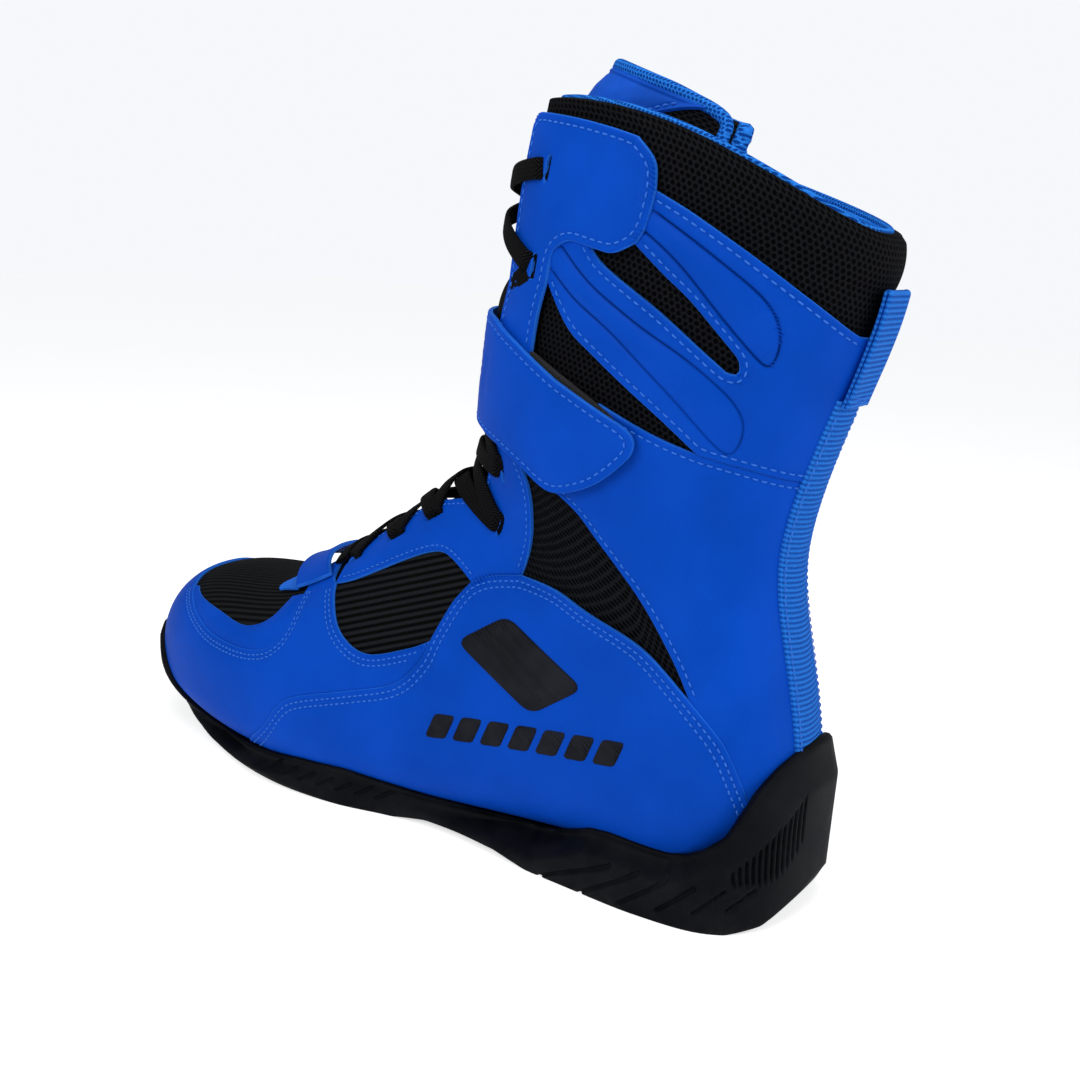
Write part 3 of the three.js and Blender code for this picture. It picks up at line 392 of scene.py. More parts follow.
DEGREE = 0.62  # drawing units that one degree of turn is worth in the flat chart


def to_chart(places):
    return np.stack([places[:, 0] * DEGREE, places[:, 1]], 1)


def inside(points, polygon):
    """Even-odd test of chart points against a closed chart polygon."""
    result = np.zeros(len(points), bool)
    x, y = points[:, 0], points[:, 1]
    for (x1, y1), (x2, y2) in zip(polygon, np.roll(polygon, -1, axis=0)):
        if y1 == y2:
            continue
        crosses = (y1 > y) != (y2 > y)
        result ^= crosses & (x < (x2 - x1) * (y - y1) / (y2 - y1) + x1)
    return result


def step_aside(path, distance, closed):
    """The path moved sideways on the surface by a true distance, to its left in the chart."""
    turn, along = path[:, 0], path[:, 1]
    step = 0.3
    by_turn = (surface(turn + step, along) - surface(turn - step, along)) / (2 * step * DEGREE)
    by_along = (surface(turn, along + step) - surface(turn, along - step)) / (2 * step)
    normal = unit(np.cross(by_turn, by_along))
    solid = surface(turn, along)
    if closed:
        before = unit(solid - np.roll(solid, 1, axis=0))
        after = unit(np.roll(solid, -1, axis=0) - solid)
    else:
        steps = unit(np.diff(solid, axis=0))
        before = np.vstack([steps[:1], steps])
        after = np.vstack([steps, steps[-1:]])
    aside = unit(np.cross(normal, unit(before + after)))
    stretch = 1 / np.clip((aside * unit(np.cross(normal, after))).sum(1), 0.5, 1)
    move = aside * (distance * stretch)[:, None]
    g11 = (by_turn ** 2).sum(1)
    g22 = (by_along ** 2).sum(1)
    g12 = (by_turn * by_along).sum(1)
    r1 = (by_turn * move).sum(1)
    r2 = (by_along * move).sum(1)
    spread = np.maximum(g11 * g22 - g12 ** 2, 1e-6)
    moved_turn = (g22 * r1 - g12 * r2) / spread
    moved_along = (g11 * r2 - g12 * r1) / spread
    return path + np.stack([moved_turn / DEGREE, moved_along], 1)


EDGE_ROWS = (0.22, 0.6, 1.15)
CREASE_ROWS = (-0.8, -0.35, 0, 0.35, 0.8)
LOOP_STEP = 1.5


class Panel:
    """A sheet cut to a closed outline of runs and laid on the boot, with a rounded cut edge.

    seams lists (run numbers, distance from the edge): rows of stitches that press into the sheet.
    creases lists paths of places that are embossed as fine grooves.
    relief(turn, along, points) adds height; base may be a number or a function of (turn, along).
    """

    def __init__(self, runs, base, thickness, seams=(), creases=(), relief=None, edge=0.75, spacing=2.3,
                 holes=(), hole_seams=()):
        self.base = base if callable(base) else (lambda turn, along: np.full(np.shape(turn), float(base)))
        self.thickness, self.relief, self.edge = thickness, relief, edge
        self.runs = [resample(run, LOOP_STEP) for run in runs]
        self.loop = np.vstack([run[:-1] for run in self.runs])
        chart = to_chart(self.loop)
        area = cross2(chart, np.roll(chart, -1, axis=0)).sum()
        self.side = 1 if area > 0 else -1
        closed_holes = [np.vstack([hole, hole[:1]]) for hole in holes]
        self.holes = [resample(hole, 0.7 if len(hole) < 40 else LOOP_STEP)[:-1] for hole in closed_holes]
        self.hole_charts = [to_chart(hole) for hole in self.holes]
        fine = np.vstack([resample(run, 0.5)[:-1] for run in [*runs, *closed_holes]])
        self.fine_loop = surface(fine[:, 0], fine[:, 1])
        self.chart = chart
        self.seams = [self._seam(numbers, distance) for numbers, distance in seams]
        self.seams += [self._hole_seam(path, distance) for path, distance in hole_seams]
        self.creases = [resample(crease, 0.6) for crease in creases]
        self.seam_points = [surface(seam[:, 0], seam[:, 1]) for seam in self.seams]
        self.crease_points = [surface(crease[:, 0], crease[:, 1]) for crease in self.creases]
        distances = sorted({distance for _, distance in [*seams, *hole_seams]})
        self._triangulate(distances, spacing)

    def _covers(self, chart_points):
        within = inside(chart_points, self.chart)
        for hole in self.hole_charts:
            within &= ~inside(chart_points, hole)
        return within

    def _keep(self, places, distance):
        solid = surface(places[:, 0], places[:, 1])
        return self._covers(to_chart(places)) & (nearest(solid, self.fine_loop) > distance * 0.88)

    def _moved(self, path, distance, closed=False, clear=None):
        """The path moved aside, without the places that come too close to the panel's edge."""
        moved = step_aside(path, distance, closed)
        return moved[self._keep(moved, abs(distance) if clear is None else clear)]

    def _hole_seam(self, path, distance):
        return resample(max((self._moved(path, distance * way) for way in (1, -1)), key=len), 0.5)

    def _seam(self, numbers, distance):
        path = np.vstack([self.runs[numbers[0]][:1]] + [self.runs[number][1:] for number in numbers])
        return resample(self._moved(path, distance * self.side), 0.5)

    def _triangulate(self, distances, spacing):
        rows = list(EDGE_ROWS)
        for distance in distances:
            rows += [distance - 0.5, distance, distance + 0.5]
        groups = [self.loop, *self.holes]
        loops = [(self.loop, self.side)] + [(hole, way) for hole in self.holes for way in (1, -1)]
        for distance in sorted(rows):
            groups += [self._moved(loop, distance * way, closed=True) for loop, way in loops]
        for crease in self.creases:
            path = resample(crease, 1.2)
            groups += [self._moved(path, aside, clear=rows[-1] + 0.3) for aside in CREASE_ROWS]
        low, high = self.chart.min(0), self.chart.max(0)
        across = np.arange(low[0], high[0], spacing)
        up = np.arange(low[1], high[1], spacing * 0.87)
        field = np.stack(np.meshgrid(across, up), -1)
        field[1::2, :, 0] += spacing / 2
        field = field.reshape(-1, 2) / (DEGREE, 1)
        solid = surface(field[:, 0], field[:, 1])
        kept = self._covers(to_chart(field)) & (nearest(solid, self.fine_loop) > max(rows) + 0.7)
        if self.creases:
            kept &= nearest(solid, np.vstack(self.crease_points)) > 1.3
        groups.append(field[kept])
        everything = to_chart(np.vstack(groups))
        edges, start = [], 0
        for loop in (self.loop, *self.holes):
            edges += [(start + i, start + (i + 1) % len(loop)) for i in range(len(loop))]
            start += len(loop)
        result = delaunay_2d_cdt([Vector(p) for p in everything], edges, [], 0, 1e-4, False)
        flat = np.array([tuple(p) for p in result[0]])
        faces = np.array([f for f in result[2] if len(f) == 3])
        corners = flat[faces]
        area = cross2(corners[:, 1] - corners[:, 0], corners[:, 2] - corners[:, 0]) / 2
        kept = self._covers(corners.mean(1)) & (np.abs(area) > 1e-4)
        self.faces = faces[kept]
        used, renamed = np.unique(self.faces, return_inverse=True)
        self.faces = renamed.reshape(-1, 3)
        self.places = flat[used] / (DEGREE, 1)

    def height(self, places):
        """Depth of the outer face at the given places, their distance from the edge, and the painted shade of
        their grooves.
        """
        turn, along = places[:, 0], places[:, 1]
        points = surface(turn, along)
        rim_distance = nearest(points, self.fine_loop)
        height = self.thickness * (0.45 + 0.55 * rounded_rise(rim_distance, self.edge))
        if self.relief:
            height = height + self.relief(turn, along, points)
        groove = np.zeros(len(points))
        # seams and creases press grooves in, and dark sets how much painted shade the leather lays in them
        marks = ((self.seam_points, 0.65, 0.32, 0.55), (self.crease_points, 0.5, 0.75, 1.0))
        for cloud, reach, deep, dark in marks:
            if cloud:
                share = np.exp(-(nearest(points, np.vstack(cloud)) / reach) ** 2)
                height = height - deep * share
                groove = np.maximum(groove, dark * share)
        return self.base(turn, along) + height, rim_distance, groove

    def build(self, name, material, slot, nodes=(), body="boot"):
        depth, rim_distance, groove = self.height(self.places)
        turn, along = self.places[:, 0], self.places[:, 1]
        outer = offset(turn, along, depth)
        inner = offset(turn, along, self.base(turn, along))
        count = len(self.places)
        faces = [tuple(f) for f in self.faces] + [tuple(f[::-1] + count) for f in self.faces]
        sides = {}
        for a, b, c in self.faces:
            for edge in ((a, b), (b, c), (c, a)):
                if (edge[1], edge[0]) in sides:
                    del sides[(edge[1], edge[0])]
                else:
                    sides[edge] = True
        faces += [(b, a, a + count, b + count) for a, b in sides]
        points = np.vstack([outer, inner])
        faces = outward_faces(points, faces)
        chart = to_chart(self.places)
        rim_both = np.concatenate([rim_distance, np.zeros(count)])
        # painted shade of the grooves, none on the inner face
        groove_shade_both = np.concatenate([groove, np.zeros(count)])
        places = np.vstack([chart, chart])
        piece = make_mesh(name, points, faces, material, places, rim_both, 50, groove_shade_both)
        return finish_piece(piece, body, nodes)

    def stitch(self, name, pitch=2.6, body="boot"):
        parts = []
        for seam in self.seams:
            parts += stitches(seam, lambda places: self.height(places)[0], pitch)
        return thread_piece(name, parts, body)


STITCH_RINGS = 5
STITCH_SIDES = 6
STITCH_GAP = 0.16  # share of the pitch left free at each end of a dash


def stitches(seam, height, pitch):
    """Thread dashes along a seam that dive into the leather at both ends."""
    path = resample(seam, pitch)
    share = (np.arange(STITCH_RINGS) / (STITCH_RINGS - 1))[:, None]
    start, end = path[:-1], path[1:]
    lows = start + (end - start) * STITCH_GAP
    highs = end - (end - start) * STITCH_GAP
    spots = lows[:, None] + (highs - lows)[:, None] * share[None]
    flat = spots.reshape(-1, 2)
    depth = height(flat).reshape(len(start), STITCH_RINGS)
    bow = np.array([-0.12, 0.2, 0.27, 0.2, -0.12])
    centres = offset(spots[..., 0], spots[..., 1], depth + bow)
    normals = outward(spots[..., 0], spots[..., 1])
    kept = np.linalg.norm(centres[:, -1] - centres[:, 0], axis=1) <= pitch * 1.6
    return list(zip(centres[kept], normals[kept]))


def thread_piece(name, parts, body, width=0.62):
    """All the dashes of one panel as one object."""
    lines = np.array([line for line, _ in parts])
    normals = np.array([normal for _, normal in parts])
    forward = unit(np.gradient(lines, axis=1))
    across = unit(np.cross(forward, normals))
    raised = unit(np.cross(across, forward))
    angle = np.arange(STITCH_SIDES) * 2 * math.pi / STITCH_SIDES
    swell = np.array([0.45, 0.95, 1, 0.95, 0.45])[None, :, None, None] * width / 2
    rings = lines[:, :, None] + swell * (
        across[:, :, None] * np.cos(angle)[None, None, :, None]
        + raised[:, :, None] * (0.75 * np.sin(angle))[None, None, :, None])
    per_stitch = STITCH_RINGS * STITCH_SIDES
    single = grid_faces(STITCH_RINGS, STITCH_SIDES, closed=True)
    single.append(tuple(range(STITCH_SIDES))[::-1])
    single.append(tuple(range(per_stitch - STITCH_SIDES, per_stitch)))
    single = outward_faces(rings[0].reshape(-1, 3), single)
    faces = [tuple(i + start * per_stitch for i in face) for start in range(len(lines)) for face in single]
    run = np.broadcast_to(np.arange(STITCH_RINGS)[:, None], (STITCH_RINGS, STITCH_SIDES)) * 0.5
    places = np.stack(np.broadcast_arrays(np.arange(STITCH_SIDES)[None], run), -1).reshape(-1, 2)
    piece = make_mesh(name, rings.reshape(-1, 3), faces, THREAD, np.tile(places, (len(lines), 1)))
    return finish_piece(piece, body)


# ---- materials ----------------------------------------------------------------------------------
class Value:
    """A number in a node tree; arithmetic on it adds Math nodes."""

    def __init__(self, tree, socket):
        self.tree = tree
        self.socket = socket

    def math(self, operation, other=0.0):
        node = add_node(self.tree, "ShaderNodeMath", {0: self, 1: other}, operation=operation)
        return Value(self.tree, node.outputs[0])

    def __add__(self, other):
        return self.math("ADD", other)

    def __sub__(self, other):
        return self.math("SUBTRACT", other)

    def __mul__(self, other):
        return self.math("MULTIPLY", other)

    def __truediv__(self, other):
        return self.math("DIVIDE", other)

    def sine(self):
        return self.math("SINE")

    def ramp(self, low, high, start=0.0, end=1.0):
        """Smooth change from start to end while the value goes from low to high."""
        inputs = {"Value": self, "From Min": low, "From Max": high, "To Min": start, "To Max": end}
        node = add_node(self.tree, "ShaderNodeMapRange", inputs, interpolation_type="SMOOTHSTEP")
        return Value(self.tree, node.outputs[0])


def set_input(tree, socket, value):
    if isinstance(value, Value):
        value = value.socket
    if isinstance(value, bpy.types.NodeSocket):
        tree.links.new(value, socket)
    else:
        socket.default_value = value


def add_node(tree, kind, inputs=None, **settings):
    node = tree.nodes.new(kind)
    for key, value in settings.items():
        setattr(node, key, value)
    for key, value in (inputs or {}).items():
        set_input(tree, node.inputs[key], value)
    return node


def split(tree, vector):
    """The three parts of a vector as values."""
    return [Value(tree, part) for part in add_node(tree, "ShaderNodeSeparateXYZ", {0: vector}).outputs]


def scaled(tree, vector, factor):
    return add_node(tree, "ShaderNodeVectorMath", {0: vector, "Scale": factor}, operation="SCALE").outputs[0]


def tinted(colour, factor=1.0, lift=0.0):
    """The colour made darker or lighter, with an alpha."""
    return (*[min(part * factor + lift, 1.0) for part in colour], 1.0)


def mix_colours(tree, share, first, second):
    node = add_node(tree, "ShaderNodeMix", {0: share, 6: first, 7: second}, data_type="RGBA")
    return node.outputs[2]


def boot_position(tree):
    """Position on the boot in drawing units."""
    return scaled(tree, add_node(tree, "ShaderNodeTexCoord").outputs["Object"], 1 / UNIT)


def noise(tree, position, per_unit, detail=2.0, roughness=0.5):
    inputs = {"Vector": position, "Scale": per_unit, "Detail": detail, "Roughness": roughness}
    return Value(tree, add_node(tree, "ShaderNodeTexNoise", inputs).outputs[0])


def stored(tree, name):
    """A value that the mesh keeps for each of its points."""
    return Value(tree, add_node(tree, "ShaderNodeAttribute", attribute_name=name).outputs["Fac"])


def sheet_places(tree):
    """The piece's UV place, split in its two lengths."""
    return split(tree, add_node(tree, "ShaderNodeUVMap", uv_map="places").outputs[0])[:2]


def shade(name, build, gloss=0.04):
    """A material whose build(tree) returns its colour, roughness and height in drawing units."""
    material = bpy.data.materials.new(name)
    material.use_nodes = True
    tree = material.node_tree
    tree.nodes.clear()
    colour, roughness, height = build(tree)
    bump = add_node(tree, "ShaderNodeBump", {"Height": height, "Distance": UNIT, "Strength": 1.0})
    inputs = {
        "Base Color": colour, "Roughness": roughness, "Normal": bump.outputs[0], "Specular IOR Level": gloss}
    shader = add_node(tree, "ShaderNodeBsdfPrincipled", inputs)
    add_node(tree, "ShaderNodeOutputMaterial", {"Surface": shader.outputs[0]})
    return material


def leather(name, colour, worn):
    """Soft-touch synthetic leather: fine grain, cloudy tone, paler cut edge, painted shade in the grooves."""
    def build(tree):
        place = boot_position(tree)
        grain = add_node(tree, "ShaderNodeTexVoronoi", {"Vector": place, "Scale": 2.1}).outputs["Distance"]
        fibres = noise(tree, place, 5.5, 3.0, 0.6)
        clouds = noise(tree, place, 0.035, 3.0)
        specks = noise(tree, place, 1.3, 4.0, 0.7)
        tone = clouds * 0.7 + specks * 0.3
        base = mix_colours(tree, tone.ramp(0.3, 0.7), tinted(colour, 0.9), tinted(colour, 1.1, 0.001))
        ragged = stored(tree, "rim") + fibres * 0.35
        base = mix_colours(tree, ragged.ramp(0.22, 0.62, 0.85, 0.0), base, tinted(worn))
        # painted shade: the groove attribute darkens the leather in the seam and crease grooves
        shadow = stored(tree, "groove").ramp(0.25, 1.0, 0.0, 0.85)
        base = mix_colours(tree, shadow, base, tinted(colour, 0.22))
        height = Value(tree, grain) * 0.01225 + fibres * 0.03
        return base, specks.ramp(0.3, 0.7, 0.44, 0.56), height
    return shade(name, build)


def plain_soft(name, colour):
    """Leather without a cut edge, for padded pieces."""
    def build(tree):
        place = boot_position(tree)
        fibres = noise(tree, place, 5.5, 3.0, 0.6)
        clouds = noise(tree, place, 0.05, 3.0)
        base = mix_colours(tree, clouds.ramp(0.3, 0.7), tinted(colour, 0.8), tinted(colour, 1.18, 0.004))
        return base, 0.5, fibres * 0.035
    return shade(name, build)


HEX_ROOT = math.sqrt(3)


def hex_distance(across, up, pitch_across, pitch_up):
    """Distance to the middle of the nearest cell of a honeycomb, in cells."""
    distances = []
    for shift in (0.0, 0.5):
        x = (across / pitch_across + shift).math("FRACT") - 0.5
        y = ((up / (pitch_up * HEX_ROOT) + shift).math("FRACT") - 0.5) * HEX_ROOT
        distances.append((x * x + y * y).math("SQRT"))
    return distances[0].math("MINIMUM", distances[1])


def knitted(name, thread, hole, pitch, stretch=1.0, depth=0.4, from_position=False):
    """Spacer mesh: yarn round hexagonal holes, whose colour is the layer below darkened with painted shade.
    """
    def build(tree):
        place = boot_position(tree)
        if from_position:
            x, y, z = split(tree, place)
            across, up = y + x, z + y * 0.3
        else:
            across, up = sheet_places(tree)
        wobble = (noise(tree, place, 0.5) - 0.5) * 0.5
        yarn = hex_distance(across + wobble, up, pitch, pitch * stretch).ramp(0.24, 0.4)
        twist = ((across + up) * 9.0).sine()
        tone = noise(tree, place, 1.6, 3.0).ramp(0.3, 0.7, 0.75, 1.25)
        # painted shade: the holes take the hole colour, much darker than the yarn's own
        base = mix_colours(tree, yarn, tinted(hole), scaled(tree, thread, tone))
        return base, 0.82, yarn * depth + twist * 0.03
    return shade(name, build)


def ribbed(name, colour, gap, pitch, tilt=None):
    """Ribbed cloth: rounded cords with a fine weave across each of them."""
    def build(tree):
        x, y, z = split(tree, boot_position(tree))
        across, along = x, y
        if tilt is not None:
            rise, run = math.cos(tilt), math.sin(tilt)
            across, along = z * rise - y * run, y * rise + z * run
        cord = (across * (math.tau / pitch)).sine().ramp(-0.75, 0.6)
        weave = (along * 6.5 + across * 4.0).sine()
        # painted shade: the gaps between the cords take the near-black gap colour
        base = mix_colours(tree, cord * weave.ramp(-1, 1, 0.6, 1.0), tinted(gap), tinted(colour))
        return base, 0.72, cord * 0.3 + weave * 0.05
    return shade(name, build)


def webbing(name, colour, dark):
    """Woven tape: fine warp lines over the ribs that its mesh has, and flat selvages."""
    def build(tree):
        across, along = sheet_places(tree)
        warp = (across * (math.tau / 0.75)).sine()
        weft = (along * (math.tau / WEBBING_RIB)).sine()
        # noise gives a random tone; the weft and warp waves paint shade into the low parts of the ribs and
        # warp lines
        tone = weft * 0.32 + warp * 0.12 + noise(tree, boot_position(tree), 2.2, 3.0)
        base = mix_colours(tree, tone.ramp(0.0, 1.0), tinted(dark), tinted(colour))
        return base, 0.66, warp * 0.05 + weft * 0.05
    return shade(name, build, 0.06)


def laced(name, colour, dark):
    """Flat tubular lace with a herringbone weave."""
    def build(tree):
        across, along = sheet_places(tree)
        wale = ((across.math("ABSOLUTE") + along) * (math.tau / 1.25)).sine()
        column = (across * (math.tau / 1.4)).sine()
        both = wale.ramp(-0.8, 0.6) * column.ramp(-1.0, 0.0, 0.45, 1.0)
        # painted shade: the low parts of the weave take the dark colour
        return mix_colours(tree, both, tinted(dark), tinted(colour)), 0.75, both * 0.22
    return shade(name, build)


def rubber(name, colour):
    """Moulded rubber with a fine matte skin, dust near the ground and a few scuffs."""
    def build(tree):
        place = boot_position(tree)
        skin = noise(tree, place, 3.0, 4.0, 0.6)
        clouds = noise(tree, place, 0.06, 4.0, 0.65)
        dust = split(tree, place)[2].ramp(6.0, 0.0) * clouds.ramp(0.4, 0.7)
        base = mix_colours(tree, clouds.ramp(0.35, 0.7), tinted(colour), tinted(colour, 1.55, 0.004))
        base = mix_colours(tree, dust * 0.3, base, tinted((0.03, 0.029, 0.028)))
        return base, clouds.ramp(0.3, 0.7, 0.5, 0.66), skin * 0.045
    return shade(name, build, 0.07)


def speckled(name, colour, other, per_unit, bump):
    """Foam, board, tape hooks and the other plain stuffs: two tones and a rough skin."""
    def build(tree):
        fine = noise(tree, boot_position(tree), per_unit, 4.0, 0.7)
        base = mix_colours(tree, fine.ramp(0.35, 0.65), tinted(colour), tinted(other))
        return base, 0.85, fine * bump
    return shade(name, build, 0.5)


WEBBING_RIB = 1.7
LEATHER = leather("blue_leather", (0.0006, 0.064, 0.49), (0.02, 0.16, 0.68))
SOFT_LEATHER = plain_soft("blue_padded_leather", (0.004, 0.075, 0.48))
# painted light: a lighter copy of the blue leather, for the vamp tab that faces up to the lamps
LIT_TAB_LEATHER = plain_soft("blue_leather_painted_light", (0.012, 0.13, 0.62))
THREAD = speckled("blue_thread", (0.006, 0.11, 0.58), (0.035, 0.21, 0.80), 3.0, 0.08)
# hole colours: the layer below with painted shade in the holes
MESH = knitted("black_mesh", (0.0075, 0.0078, 0.0095), (0.0003, 0.0003, 0.0004), 2.1)
ANKLE_MESH = knitted("black_ankle_mesh", (0.008, 0.009, 0.011), (0.0003, 0.0003, 0.0004), 1.6, 1.5)
# gap colours: painted shade between the cords
SIDE_RIB = ribbed("black_side_rib", (0.014, 0.015, 0.018), (0.0006, 0.0006, 0.0007), 2.45, math.radians(21))
TOE_RIB = ribbed("black_toe_rib", (0.013, 0.014, 0.016), (0.0015, 0.0015, 0.0018), 2.0)
# hole colour: the layer below with painted shade in the holes
LINING_KNIT = knitted("blue_lining", (0.02, 0.20, 0.74), (0.002, 0.05, 0.30), 1.5, 1.0, 0.25, True)
# dark colour: random tone and painted shade in the rib troughs
WEBBING = webbing("blue_webbing", (0.02, 0.20, 0.74), (0.002, 0.06, 0.36))
# dark colour: painted shade in the low parts of the weave
LACE_CLOTH = laced("black_lace", (0.010, 0.010, 0.011), (0.0008, 0.0008, 0.0008))
RUBBER = rubber("black_rubber", (0.0016, 0.0020, 0.0034))
PRINT = rubber("black_print", (0.0075, 0.0080, 0.0115))
HOOK_TAPE = speckled("black_hook_tape", (0.004, 0.004, 0.005), (0.03, 0.03, 0.032), 2.6, 0.5)
FOAM = speckled("white_foam", (0.62, 0.62, 0.58), (0.78, 0.78, 0.75), 1.2, 0.2)
BOARD = speckled("fibre_board", (0.28, 0.26, 0.22), (0.42, 0.40, 0.35), 1.6, 0.1)


# ---- outlines, in side view [y, z] ---------------------------------------------------------------
QUARTER_FRONT = [
    (-184, 7), (-166, 21), (-158, 32), (-150, 38), (-126, 46), (-107, 53), (-98, 63), (-95.5, 71),
]
QUARTER_MIDDLE = [(-95.5, 71), (-92.5, 79), (-89, 87), (-84, 94)]
QUARTER_INSTEP = [(-84, 94), (-76, 98), (-63, 101.3)]
QUARTER_ANKLE = [(-63, 101.3), (-47, 100), (-34, 96), (-11, 89), (6, 76)]
QUARTER_HEEL = [(6, 76), (18, 63), (25, 48), (28, 38)]
WINDOW_FRONT = [(-95.5, 71), (-105, 66), (-122, 60.5), (-136, 65), (-146, 75), (-149, 79)]
EYESTAY_BOTTOM = [(-149, 79), (-138, 83.5), (-117, 95), (-106, 100), (-99, 101), (-91, 98), (-84, 94)]
EYESTAY_REAR = [(-63, 101.3), (-60, 114), (-60, 124), (-62, 133), (-67, 141), (-74, 149)]
ANKLE_FRONT = [(-49, 134), (-40, 129), (-31, 121), (-14, 105), (-1, 88), (6, 76)]
CLAW_BOTTOM = [(0, 154), (13, 151), (25, 147.5), (28, 147.2)]
CLAW_TOP = [(-18.5, 232.5), (-4, 225.5), (15, 214), (31, 202), (39.5, 193.5)]
CLAW_FRONT = [(0, 154), (-13, 165), (-34, 180), (-44, 187), (-50, 194), (-56, 203)]
CLAW_UNDER = [(-56, 203), (-55, 210), (-51, 216), (-46, 218.5), (-40, 217)]
CLAW_SLIT_LOWER = [(-40, 217), (-34, 209.5), (-13, 196.5), (2, 185), (7.5, 180.5)]
CLAW_SLIT_END = [(7.5, 180.5), (10.2, 180), (11.2, 181.4), (11, 184)]
CLAW_SLIT_UPPER = [(11, 184), (9, 187), (-3, 200), (-13, 208), (-23.5, 216.5)]
CLAW_CORNER = [(-23.5, 216.5), (-20.5, 223), (-18.5, 232.5)]
FLAP_LOWER = [(-60, 178), (-58, 191), (-54.5, 203)]
FLAP_FINGER = [(-54.5, 203), (-53.5, 209), (-51, 213.5), (-46, 215.5), (-41, 214.8)]
FLAP_GAP = [(-41, 214.8), (-35, 213.6), (-29, 213), (-21.5, 216.5)]
FLAP_CORNER = [(-21.5, 216.5), (-18.5, 222), (-16.5, 231.5)]
UPPER_PAD = [
    (-36, 237), (-17, 226), (-10, 222), (0, 216), (10, 209),
    (18, 203), (21, 197), (22, 192), (21, 186), (19, 183),
    (17, 184), (11, 191), (1, 202), (-7, 211), (-19, 220), (-36, 230),
]
LOWER_PAD = [
    (-62, 225), (-50, 214), (-45, 209), (-37, 202), (-28, 197),
    (-17, 190), (-8, 186), (2, 179), (9, 173), (12, 168),
    (13, 163), (11, 157), (9, 155), (6, 156), (-1, 164), (-11, 174), (-20, 181), (-30, 190), (-40, 195),
    (-49, 202), (-53, 206), (-68, 218),
]
SOLE_LINE = np.array([
    (-262, 44), (-255, 38), (-245, 28), (-232, 17), (-216, 10.5),
    (-200, 8.8), (-185, 8.8), (-174, 9.5), (-160, 11.5),
    (-147, 13.5), (-125, 15), (-105, 12.8), (-92, 11), (-82, 10.5),
    (-60, 10), (-50, 10.2), (-42, 11.8), (-34, 15.5),
    (-26, 19.8), (-18, 21), (-11, 20.6), (-3, 20), (4, 19.6),
    (10, 21.5), (16, 26), (22, 34), (26, 42), (30, 49.5),
    (34.5, 56), (39, 61), (48, 66),
], float)
GROUND_LINE = np.array([
    (-272, 44), (-263, 26), (-257, 14), (-248, 6), (-234, 2), (-206, 0), (-106, 0), (-92, 2.4), (-60, 2.4),
    (-46, 0), (27, 0), (36, 2.5), (42, 9), (50, 24),
], float)
THROAT = np.array([
    (0, 80), (6, 83), (8, 90), (8.5, 112), (14, 120), (16, 130), (17, 150), (21, 175), (26, 200), (27, 275),
], float)
BACK = 180.0


def height_on(line, y):
    return np.interp(y, line[:, 0], line[:, 1])


def sole_run(start_y, end_y, side):
    """The hidden lower edge of a panel, a little below the sole line."""
    ys = np.linspace(start_y, end_y, 30)
    zs = height_on(SOLE_LINE, ys) - TUCK
    return side_places(np.stack([ys, zs], 1), side)


def straight(start, end):
    """A straight run between two places."""
    share = np.linspace(0, 1, 12)[:, None]
    return np.asarray(start) * (1 - share) + np.asarray(end) * share


def find_throat():
    """Turn, along and height of the edge of the lacing gap on the lateral side."""
    turns = np.arange(0, 90, 0.25)
    found = []
    for along in np.arange(100, 548, 1.0):
        points = surface(turns, along)
        spare = points[:, 0] - np.interp(points[:, 2], THROAT[:, 1], THROAT[:, 0])
        crossing = np.nonzero((spare[:-1] < 0) & (spare[1:] >= 0))[0]
        if len(crossing) and points[crossing[0], 2] > THROAT[0, 1]:
            i = crossing[0]
            turn = turns[i] + 0.25 * spare[i] / (spare[i] - spare[i + 1])
            found.append((turn, along, points[i, 2]))
    return np.array(found)


THROAT_EDGE = find_throat()


def throat_run(low, high, side):
    """The edge of the lacing gap from one height up or down to another."""
    kept = THROAT_EDGE[(THROAT_EDGE[:, 2] >= min(low, high)) & (THROAT_EDGE[:, 2] <= max(low, high))]
    run = kept[:, :2] * (side, 1)
    return run if high > low else run[::-1]


def throat_turn(along):
    """Turn of the lacing gap's edge at a slice; 0 below the gap."""
    return np.interp(along, THROAT_EDGE[:, 1], THROAT_EDGE[:, 0], left=0)


def joined(*runs):
    """Runs whose ends are pulled together so that the outline closes."""
    runs = [np.array(run, float) for run in runs]
    for i, run in enumerate(runs):
        runs[i - 1][-1] = run[0]
    return runs


SIDES = (("lateral", 1), ("medial", -1))


def sew(panel, name, side_name, pitch):
    """Builds a leather panel of one side with its rows of stitches."""
    panel.build(f"{name}_{side_name}", LEATHER, "blue_leather", [f"{name}_{side_name}"])
    panel.stitch(f"{name}_stitching_{side_name}", pitch)


# ---- leather panels ----------------------------------------------------------------------------------
def build_quarter(name, side):
    edges = side_runs(side, QUARTER_FRONT, QUARTER_MIDDLE, QUARTER_INSTEP, QUARTER_ANKLE, QUARTER_HEEL)
    runs = joined(*edges, sole_run(27, -182, side))
    top_edge = (0, 1, 2, 3, 4)
    panel = Panel(runs, FIRST_LAYER + 0.7, 1.5, seams=[(top_edge, 2.1), (top_edge, 4.3)])
    sew(panel, "quarter", name, 2.5)


